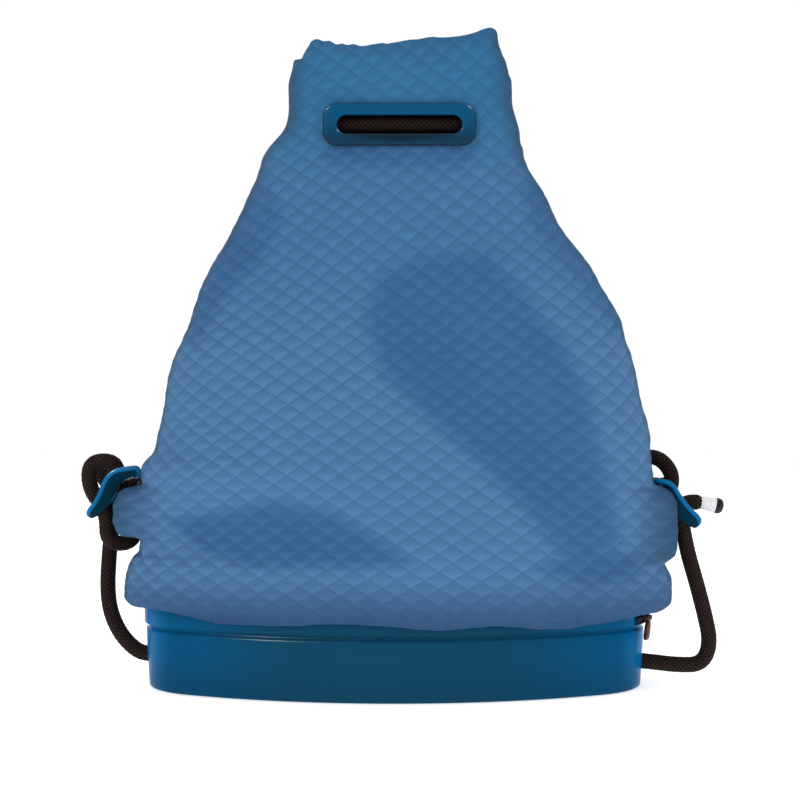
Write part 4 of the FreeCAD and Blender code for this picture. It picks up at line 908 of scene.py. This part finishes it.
def sideLimit(which, s, z):
    # how far the cloth runs round to the side, its lobe's back included: s is a run from the middle,
    # z the height
    run = levelNumbers(z)[-1]
    return run if which > 0 else run + lobeReach(s, z)


def smoothShape(which, s, z, plain=False):
    # the sack without its quilting: which is -1 for the front and 1 for the back
    middle, reach, radius, longRadius, drop, turn, longRun, run = levelNumbers(z)
    sign = np.where(s < 0, -1.0, 1.0)
    along = np.abs(s)
    bend = np.clip(along, 0, longRun) / longRadius
    angle = turn - (np.clip(along, longRun, run) - longRun) / radius
    x = np.where(along <= longRun, longRadius * np.sin(bend), reach + radius * np.cos(angle))
    y = np.where(along <= longRun, longRadius * np.cos(bend) - drop, radius * np.sin(angle))
    if which > 0 or plain:
        tucked = 0 if plain else sack["tuck"] * step(along / run, 0.85, 1.0)
        return middle + sign * (x - tucked), which * (y + 0.2), z + 0 * s
    out = lobeReach(s, z)
    beyond = np.maximum(along - run, 0)
    fade = np.where(s < 0, lobes[-1]["fade"], lobes[1]["fade"])
    x = x + out * (1 - step(run - along, 0, fade)) - np.minimum(beyond, out)
    tip = 1 - np.clip((run - along) / (0.5 * fade), 0, 1)
    back = np.clip(beyond / np.maximum(out, 0.5), 0, 1)
    y = y + sack["forward"] * np.clip(out / 12, 0, 1) * tip * tip * (1 - back) ** 0.7 + 0.4
    return middle + sign * x, -y, z + 0 * s


def alongFold(x, z, start, end):
    start, end = np.array(start, dtype=float), np.array(end, dtype=float)
    line = end - start
    share = np.clip(((x - start[0]) * line[0] + (z - start[1]) * line[1]) / line.dot(line), 0, 1)
    return np.hypot(x - start[0] - share * line[0], z - start[1] - share * line[1])


def latticeOf(which, s, z):
    # counts the stitch lines: a grows down to the right, b grows up to the right
    spread = quilting["spread"]
    middle, run = levelNumbers(z)[0], levelNumbers(z)[-1]
    x = smoothShape(which, s, z, plain=True)[0]
    flat = x + (s + middle - x) * spread * step(np.abs(s) / run, 0.6, 1.0)
    rim = np.sign(s) * run
    rimX = smoothShape(which, rim, z, plain=True)[0]
    flat = np.where(np.abs(s) <= run, flat, rimX + (rim + middle - rimX) * spread + s - rim)
    high = z - quilting["level"]
    terms = (flat, high, flat ** 2, flat * high, high ** 2)
    return [sum(factor * term for factor, term in zip(quilting[way], terms)) for way in ("down", "up")]


def nearPlate(x, z):
    # 1 under the eyelet plate, falling to 0 a little outside it
    off = np.maximum(np.abs(x - eyelet["middle"][0]) - eyelet["outer"][0],
                     np.abs(z - eyelet["coverLevel"]) - eyelet["coverHalf"])
    return 1 - step(off, -1.0, 7.0)


def depthInside(x, z, outline):
    # how far inside a closed outline each place is; places outside count below zero
    corners = np.array(outline, dtype=float)
    nearest = np.full(x.shape, 1e9)
    inside = np.zeros(x.shape, dtype=bool)
    for start, end in zip(corners, np.roll(corners, -1, axis=0)):
        nearest = np.minimum(nearest, alongFold(x, z, start, end))
        rise = end[1] - start[1] if end[1] != start[1] else 1e-9
        crossing = start[0] + (z - start[1]) * (end[0] - start[0]) / rise
        inside = inside ^ (((start[1] > z) != (end[1] > z)) & (x < crossing))
    return np.where(inside, nearest, -nearest)


def softFolds(which, x, z):
    height = np.zeros_like(x)
    for lines, sign in ((folds, -1), (bulges, 1)):
        for start, end, width, depth in lines:
            if which > 0:
                start, end = (-start[0], start[1]), (-end[0], end[1])
            height = height + sign * depth * np.exp(-(alongFold(x, z, start, end) / width) ** 2)
    return height * (1 - nearPlate(x, z))


def outwards(which, s, z, plain):
    gap = 0.6
    east, west = smoothShape(which, s + gap, z, plain), smoothShape(which, s - gap, z, plain)
    above, below = smoothShape(which, s, z + gap, plain), smoothShape(which, s, z - gap, plain)
    alongS = np.stack([east[axis] - west[axis] for axis in range(3)], axis=-1)
    alongZ = np.stack([above[axis] - below[axis] for axis in range(3)], axis=-1)
    normal = np.cross(alongS, alongZ) * (-which)
    return normal / np.maximum(np.linalg.norm(normal, axis=-1), 1e-9)[..., None]


def quiltShape(which, s, z):
    # the sack with its folds and padded diamonds, then how much painted shade, how much painted shade at its
    # edges and how near its rim each place is
    x, y, _ = smoothShape(which, s, z)
    a, b = latticeOf(which, s, z)
    downRight = np.mod(a, 1)
    downLeft = 1 - np.mod(b, 1)
    pillow = np.abs(np.sin(np.pi * downRight ** 1.5) * np.sin(np.pi * downLeft ** 1.5)) ** 0.8
    toEdge = sideLimit(which, s, z) - np.abs(s)
    rim = 1 - step(toEdge, 3.0, 42.0)
    clear = 1 - nearPlate(x, z)
    fade = step(toEdge, 0.0, 5.0) * (0.1 + 0.9 * clear) * (1 - 0.85 * rim)
    fade = fade * (0.35 + 0.65 * step(z - hemAt(which, x), 0.0, 9.0))
    height = pillow * sack["relief"] * fade - sack["sink"] * (1 - 0.8 * rim)
    height = height + softFolds(which, x, z) * (1 - rim)
    height = height + 0.6 * np.sin(z / 6.1 - 0.8) * rim * step(z, 145, 160) * clear
    place = np.stack([x, y, z], axis=-1) + outwards(which, s, z, False) * height[..., None]
    # painted shade and shadow, from the outlines in shades
    dark = np.zeros_like(x)
    for outline, soft, strength in shades:
        dark = np.maximum(dark, strength * step(depthInside(x * -which, z, outline), -soft, soft))
    # painted shade on the lobes, near the side seams and along the top edge, where the cloth turns from the
    # light
    lobe = np.clip(lobeReach(s, z) / 8, 0, 1) * (1 - step(toEdge, 20, 72)) * (which < 0)
    edge = 1 - step(toEdge, 9.0, 33.0)
    topRim = 1 - step(topLines[which](x) - z, 0.0, 11.0)
    painted_edge_shade = np.maximum(np.maximum(lobe, 0.95 * edge), 0.45 * topRim)
    return place, dark, painted_edge_shade, rim


def latticeSpot(which, across, rising, s, z):
    # walks to the place on the sack where the two counts have the wanted values
    for _ in range(9):
        a, b = latticeOf(which, s, z)
        aS, bS = latticeOf(which, s + 0.5, z)
        aZ, bZ = latticeOf(which, s, z + 0.5)
        aS, bS, aZ, bZ = (aS - a) / 0.5, (bS - b) / 0.5, (aZ - a) / 0.5, (bZ - b) / 0.5
        missA, missB = across - a, rising - b
        size = aS * bZ - aZ * bS
        size = np.where(np.abs(size) < 1e-3, 1e-3, size)
        stepS = (missA * bZ - missB * aZ) / size
        stepZ = (missB * aS - missA * bS) / size
        s = np.clip(s + np.clip(stepS, -25, 25), -330, 330)
        z = np.clip(z + np.clip(stepZ, -25, 25), 20, 470)
    return s, z


def cutForSlot(piece, halfLong, halfHigh):
    # opens the cloth behind an eyelet plate; the plate covers the cut's edge
    work = bmesh.new()
    work.from_mesh(piece.data)
    gone = []
    for face in work.faces:
        middle = face.calc_center_median()
        offX = max(abs(middle.x / mm - eyelet["middle"][0]) - (halfLong - halfHigh), 0)
        if math.hypot(offX, middle.z / mm - eyelet["middle"][2]) < halfHigh:
            gone.append(face)
    bmesh.ops.delete(work, geom=gone, context="FACES")
    work.to_mesh(piece.data)
    work.free()


def latticePlaces(which, fine):
    # rows and columns of points follow the stitch lines, so each line lies on edges of the mesh
    a, b = latticeOf(which, *np.meshgrid(np.linspace(-240, 240, 48), np.linspace(42, 432, 48)))
    wide, high = a + b, b - a
    low = math.floor(wide.min()), math.floor(high.min())
    columns = int(math.ceil(wide.max()) - low[0]) * fine
    rows = int(math.ceil(high.max()) - low[1]) * fine
    wide, high = np.meshgrid(low[0] + np.arange(columns + 1) / fine, low[1] + np.arange(rows + 1) / fine)
    s, z = latticeSpot(which, (wide - high) / 2, (wide + high) / 2, wide / quilting["perAcross"],
                       quilting["level"] + high / quilting["perHigh"])
    x = smoothShape(which, s, z)[0]
    outside = (np.abs(s) > sideLimit(which, s, z)) | (z < hemAt(which, x)) | (z > topLines[which](x))
    # points outside are drawn to the cloth's edge
    for _ in range(4):
        x = smoothShape(which, s, z)[0]
        z = np.clip(z, hemAt(which, x), topLines[which](x))
        limit = sideLimit(which, s, z)
        s = np.clip(s, -limit, limit)
    return s, z, outside.ravel(), low


def writeLayers(mesh, which, s, z, shades):
    # the stitch lines' counts as the mesh's map, and the painted shade, the painted edge shade and the rim as
    # its attributes
    for layer, values in shades.items():
        attribute = mesh.attributes.new(layer, "FLOAT", "POINT")
        attribute.data.foreach_set("value", values.astype(np.float32).ravel())
    corners = np.zeros(len(mesh.loops), dtype=np.int32)
    mesh.loops.foreach_get("vertex_index", corners)
    counts = np.stack([count.ravel()[corners] for count in latticeOf(which, s, z)], axis=1)
    mesh.uv_layers["stitches"].uv.foreach_set("vector", counts.ravel().astype(np.float32))


def splitAlongLines(work, spacing, low, fine):
    # a stitch line runs across the mesh's squares, so those that it crosses are split along it
    for face in list(work.faces):
        first = min(vertex.index for vertex in face.verts)
        column, row = first % spacing, first // spacing
        shiftDown = (column - row + (low[0] - low[1]) * fine) % (2 * fine)
        shiftUp = (column + 1 + row + (low[0] + low[1]) * fine) % (2 * fine)
        if shiftDown and shiftUp:
            continue
        pair = (first + 1, first + spacing) if shiftDown else (first, first + spacing + 1)
        ends = [vertex for vertex in face.verts if vertex.index in pair]
        if len(ends) == 2:
            bmesh.utils.face_split(face, ends[0], ends[1])


def turnInwards(work, which):
    # the hem, the mouth and the side seams turn inwards, so that the cloth shows its thickness
    rim = [edge for edge in work.edges if edge.is_boundary]
    for depth, drop in sack["turned"]:
        made = bmesh.ops.extrude_edge_only(work, edges=rim)["geom"]
        rim = [item for item in made if isinstance(item, bmesh.types.BMEdge)]
        for vertex in [item for item in made if isinstance(item, bmesh.types.BMVert)]:
            x, y, z = vertex.co / mm
            inward = Vector((3 - x, -y, 0)).normalized() * depth
            if z > max(topLines[which](np.array([x]))[0] - sack["mouthDeep"], sack["mouthFrom"]):
                inward -= Vector((0, 0, drop))
            elif z < sack["hemTo"]:
                inward += Vector((0, 0, drop))
            else:
                inward *= 0.5
            vertex.co += inward * mm


def quiltedHalf(name, which, fine, nodes):
    s, z, outside, low = latticePlaces(which, fine)
    rows, columns = s.shape
    piece = gridPiece(name, columns - 1, rows - 1, "stitches")
    place, dark, painted_edge_shade, rim = quiltShape(which, s, z)
    layOut(piece, place * mm)
    writeLayers(piece.data, which, s, z, {"painted_shade": dark, "painted_edge_shade": painted_edge_shade, "rim": rim})
    work = bmesh.new()
    work.from_mesh(piece.data)
    gone = [face for face in work.faces if all(outside[vertex.index] for vertex in face.verts)]
    bmesh.ops.delete(work, geom=gone, context="FACES")
    splitAlongLines(work, columns, low, fine)
    bmesh.ops.delete(work, geom=[vertex for vertex in work.verts if not vertex.link_faces], context="VERTS")
    bmesh.ops.remove_doubles(work, verts=work.verts, dist=0.15 * mm)
    bmesh.ops.dissolve_degenerate(work, dist=0.02 * mm, edges=work.edges)
    turnInwards(work, which)
    work.normal_update()
    work.to_mesh(piece.data)
    work.free()
    cutForSlot(piece, *eyelet["clothSlot"])
    return finished(piece, finishes["quilt"], nodes=nodes, angle=None)


quiltFront = quiltedHalf("quilted_front", -1, 5, ["front_panel", "left_side_tab", "right_side_tab"])
print("front sewn,", len(quiltFront.data.polygons), "faces")
quiltBack = quiltedHalf("quilted_back", 1, 4, ["back_panel"])
print("back sewn,", len(quiltBack.data.polygons), "faces")


def insideLoop(z, inset, count=150):
    # places all round inside the sack at the heights z: rows of places, the last meeting the first
    share = np.linspace(-1, 1, count + 1)
    rows = []
    for height, depth in zip(z, inset):
        level = np.full(count + 1, float(height))
        run = levelNumbers(level)[-1]
        halves = []
        for which in (-1, 1):
            s = share * run * (-which)
            x, y, _ = smoothShape(which, s, level, plain=True)
            normal = outwards(which, s, level, True)
            off = softFolds(which, x, level) * 0.96 - depth
            place = np.stack([x, y, level], axis=-1)
            place[:, :2] += normal[:, :2] * off[:, None]
            halves.append(place[:-1])
        loop = np.concatenate(halves)
        rows.append(np.concatenate([loop, loop[:1]]))
    return np.array(rows)


lining = {"foot": 63.2, "rise": 340.0, "rows": 90, "inset": 3.7, "topInset": 2.2, "belowTop": 3.5,
          "wrinkle": 0.35}


def liningPiece():
    # one sleeve of cloth from the tray's ring up to the mouth, hanging in slight wrinkles
    share = np.linspace(0, 1, lining["rows"] + 1)
    points = insideLoop(lining["foot"] + lining["rise"] * share,
                        lining["inset"] + lining["topInset"] * step(share, 0.945, 0.975))
    across, deep, level = points[:, :, 0], points[:, :, 1], points[:, :, 2]
    top = np.minimum(topLines[-1](across[-1]), topLines[1](across[-1])) - lining["belowTop"]
    climb = np.clip((share - 0.9) / 0.1, 0, 1)[:, None]
    level += climb * np.maximum(top - lining["foot"] - lining["rise"], -8)[None, :]
    around = np.linspace(0, 2 * np.pi, points.shape[1])[None, :]
    wave = lining["wrinkle"] * (1 + np.sin(23 * around + 3 * np.sin(level / 40)) * (1 - climb))
    deep -= np.sign(deep) * wave * np.clip(np.abs(deep) / 20, 0, 1) * (1 - nearPlate(across, level))
    piece = surfacePiece("sack_lining", points * mm)
    cutForSlot(piece, *eyelet["liningSlot"])
    applied(piece, "SOLIDIFY", thickness=0.6 * mm, offset=0)
    finished(piece, finishes["lining"], angle=None,
             nodes=["front_lining", "back_lining", "mouth_facing", "left_seam_tape", "right_seam_tape"])


def tunnelPiece():
    # the channel that the rope gathers the neck with: a strip sewn in at both edges
    profile = [(4.4, 346.2), (5.5, 346.8), (9, 347.8), (13.5, 349.4), (16.2, 352.5), (17.2, 357), (17.5, 364),
               (17.2, 372), (16.2, 376.5), (13.5, 379.5), (9, 381.2), (5.5, 382.2), (4.4, 382.8)]
    points = insideLoop([level for _, level in profile], [inset for inset, _ in profile])
    around = np.linspace(0, 2 * np.pi, points.shape[1])[None, :]
    middle = np.sin(np.linspace(0, np.pi, len(profile)))[:, None]
    gather = 1 - 0.016 * middle * (0.5 + 0.5 * np.sin(46 * around + 1.5 * np.sin(5 * around)))
    points[:, :, 0] *= gather
    points[:, :, 1] *= gather
    piece = surfacePiece("neck_channel", points * mm)
    applied(piece, "SOLIDIFY", thickness=0.7 * mm, offset=0)
    finished(piece, finishes["lining"], nodes=["rope_tunnel"], angle=None)


liningPiece()
tunnelPiece()
print("lined")


# The zip, and what keeps its CAD shape

def softened(name, node, finish, width, drop=0.0, body="bag"):
    # a copy of the CAD piece with merged corners and small rounded edges
    piece = bpy.data.objects.new(name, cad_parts[node].data.copy())
    bpy.context.collection.objects.link(piece)
    editing(piece, lambda: bpy.ops.mesh.remove_doubles(threshold=1e-5),
            lambda: bpy.ops.mesh.dissolve_limited(angle_limit=math.radians(2)))
    applied(piece, "BEVEL", width=width * mm, segments=2, limit_method="ANGLE", angle_limit=math.radians(35))
    if drop:
        editing(piece, lambda: bpy.ops.transform.translate(value=(0, 0, -drop * mm)))
    finished(piece, finishes[finish], body, [node], 40)


softened("base_board", "floor_board", "board", 0.6)
softened("hem_clamp_ring", "hem_ring", "tray", 0.6)
softened("front_backing", "front_eyelet_backing", "board", 0.25)
softened("back_backing", "back_eyelet_backing", "board", 0.25)
# the rivets go down with the plates, which lie lower at their middle than in the CAD
softened("left_rivets", "left_plate_rivets", "rivet", 0.3, 4.0)
softened("left_washers", "left_plate_washers", "rivet", 0.2, 4.0)
softened("right_rivet", "right_plate_rivet", "rivet", 0.3, 2.0)
softened("slider_body", "zip_slider", "bronze", 0.35, body="slider")

zipLook = {"middle": 114.0, "from": -37.0, "to": 56.0, "level": 46.0, "radius": 51.82, "teeth": 62}


def coilPiece():
    # a band of small rounded teeth round the right end
    columns, rows = 16, zipLook["teeth"] * 6
    along = np.linspace(0, 1, rows + 1)
    angle = np.radians(zipLook["from"] + (zipLook["to"] - zipLook["from"]) * along)
    tooth = 0.35 + 0.65 * np.abs(np.sin(np.pi * along * zipLook["teeth"])) ** 0.5
    turn = np.linspace(0, 2 * np.pi, columns + 1)
    out = zipLook["radius"] + 1.0 + 0.98 * np.cos(turn)[None, :] * tooth[:, None]
    z = zipLook["level"] + 1.5 * np.sin(turn)[None, :] * (0.7 + 0.3 * tooth[:, None])
    x = zipLook["middle"] + out * np.cos(angle)[:, None]
    points = np.stack([x, out * np.sin(angle)[:, None], z], axis=-1)
    piece = surfacePiece("zip_teeth", points * mm, fill=True)
    finished(piece, finishes["coil"], nodes=["zip_coil"], angle=50)


# the pull hangs from the slider's pin, a little aslant, as in the photo
pull = {"pin": (163.748, -26.466, 46.5), "along": (0.46967, 0.882842, 0), "out": (0.882842, -0.46967, 0),
        "slant": 0.34, "square": 0.55,
        # drop below the pin, half width, half thickness
        "profile": [(-1.2, 0.5, 0.3), (-1.1, 1.5, 0.9), (0, 1.9, 1.1), (2.0, 2.0, 1.1), (3.0, 3.0, 1.15),
                    (4.4, 3.7, 1.2), (8, 3.9, 1.25), (11.5, 3.8, 1.3), (12.8, 3.4, 1.2), (13.6, 2.6, 0.95),
                    (13.9, 1.3, 0.5)]}


def pullPiece():
    # a tapered bar, whose section lies between a circle and a square
    pivot, along, out = np.array(pull["pin"]), np.array(pull["along"]), np.array(pull["out"])
    turn = np.linspace(0, 2 * np.pi, 33)
    wide = np.sign(np.cos(turn)) * np.abs(np.cos(turn)) ** pull["square"]
    thick = np.sign(np.sin(turn)) * np.abs(np.sin(turn)) ** pull["square"]
    rows = []
    for drop, half, flat in pull["profile"]:
        shift = -pull["slant"] * max(drop - 1, 0)
        ring = along * (wide * half + shift)[:, None] + out * (thick * flat)[:, None]
        rows.append(pivot + (0, 0, -drop) + ring)
    piece = surfacePiece("zip_pull_bar", np.array(rows) * mm, fill=True)
    finished(piece, finishes["bronze"], "pull", ["zip_pull"], 60)


coilPiece()
pullPiece()
softened("zip_band", "zip_tape", "tape", 0.2)
print("zip and fittings made")


# The stage: white paper floor and backdrop, soft light from the upper left

stage = {"floor": (0.0, 0.9, -0.0005), "size": 9.0, "wall": (0.0, 3.2, 2.5)}


def paper(name, seenWhite):
    # floor paper glows a little; the backdrop's paper is plain white wherever it is seen or mirrored
    finish = Finish(name, specular=0.05)
    finish.give("Roughness", 0.95)
    finish.give("Base Color", colour(250, 250, 250))
    if seenWhite:
        rays = [finish.add("ShaderNodeLightPath", output=ray)
                for ray in ("Is Camera Ray", "Is Glossy Ray", "Is Transmission Ray")]
        seen = (rays[0] + rays[1] + rays[2]).calc("MINIMUM", 1.0)
        bounced, glow = Signal(finish, finish.surface.outputs[0]), finish.add("ShaderNodeEmission")
        mixed = finish.add("ShaderNodeMixShader", None, {0: seen, 1: bounced, 2: glow})
        finish.plug(finish.output.inputs["Surface"], mixed)
    else:
        finish.give("Emission Color", (1, 1, 1, 1))
        finish.give("Emission Strength", 0.6)
    return finish.material


def paperSheet(name, place, turn, seenWhite):
    bpy.ops.mesh.primitive_plane_add(size=stage["size"], location=place, rotation=(math.radians(turn), 0, 0))
    sheet = bpy.context.object
    sheet.name = name
    sheet.data.materials.append(paper(name + "_paper", seenWhite))
    return sheet


floor = paperSheet("floor", stage["floor"], 0, False)
wall = paperSheet("backdrop", stage["wall"], 90, True)


def lampAt(name, place, size, power, aim):
    bpy.ops.object.light_add(type="AREA", location=place)
    lamp = bpy.context.object
    lamp.name = name
    lamp.data.shape = "RECTANGLE"
    lamp.data.size, lamp.data.size_y = size
    lamp.data.energy = power
    lamp.rotation_euler = (Vector((0, 0, aim)) - Vector(place)).to_track_quat("-Z", "Y").to_euler()
    return lamp


lampAt("key", (-0.9, -1.5, 1.3), (1.2, 1.2), 9.5, 0.2)
lampAt("right", (1.5, -0.9, 0.7), (1.0, 1.0), 5.0, 0.2)
lampAt("top", (0.1, 0.2, 1.9), (1.2, 1.2), 6.5, 0.2)
lampAt("behind", (-0.6, 1.8, 1.0), (1.2, 1.2), 7.0, 0.2)
# small lamps that light only the gloss of the pieces they name
glints = [("low_glint", (-1.2, -1.34, 1.15), (0.34, 0.1), 170.0,
           ["moulded_tray", "left_plate", "right_plate"]),
          ("left_glint", (-1.0, -1.2, 1.9), (0.2, 0.1), 60.0, ["front_eyelet", "back_eyelet"]),
          ("right_glint", (0.75, -1.3, 1.95), (0.3, 0.1), 60.0, ["front_eyelet", "back_eyelet"])]
for name, place, size, power, pieces in glints:
    shiny = bpy.data.collections.new(name)
    for piece in pieces:
        shiny.objects.link(bpy.data.objects[piece])
    lamp = lampAt(name, place, size, power, 0.05)
    lamp.visible_diffuse = False
    lamp.light_linking.receiver_collection = shiny

world = bpy.data.worlds.new("sky")
bpy.context.scene.world = world
world.use_nodes = True
world.node_tree.nodes["Background"].inputs[0].default_value = (1, 1, 1, 1)
world.node_tree.nodes["Background"].inputs[1].default_value = 0.44
bpy.context.scene.view_settings.view_transform = "Standard"
print("stage lit")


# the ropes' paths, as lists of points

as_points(leftPath)
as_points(rightPath)
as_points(tailPath)
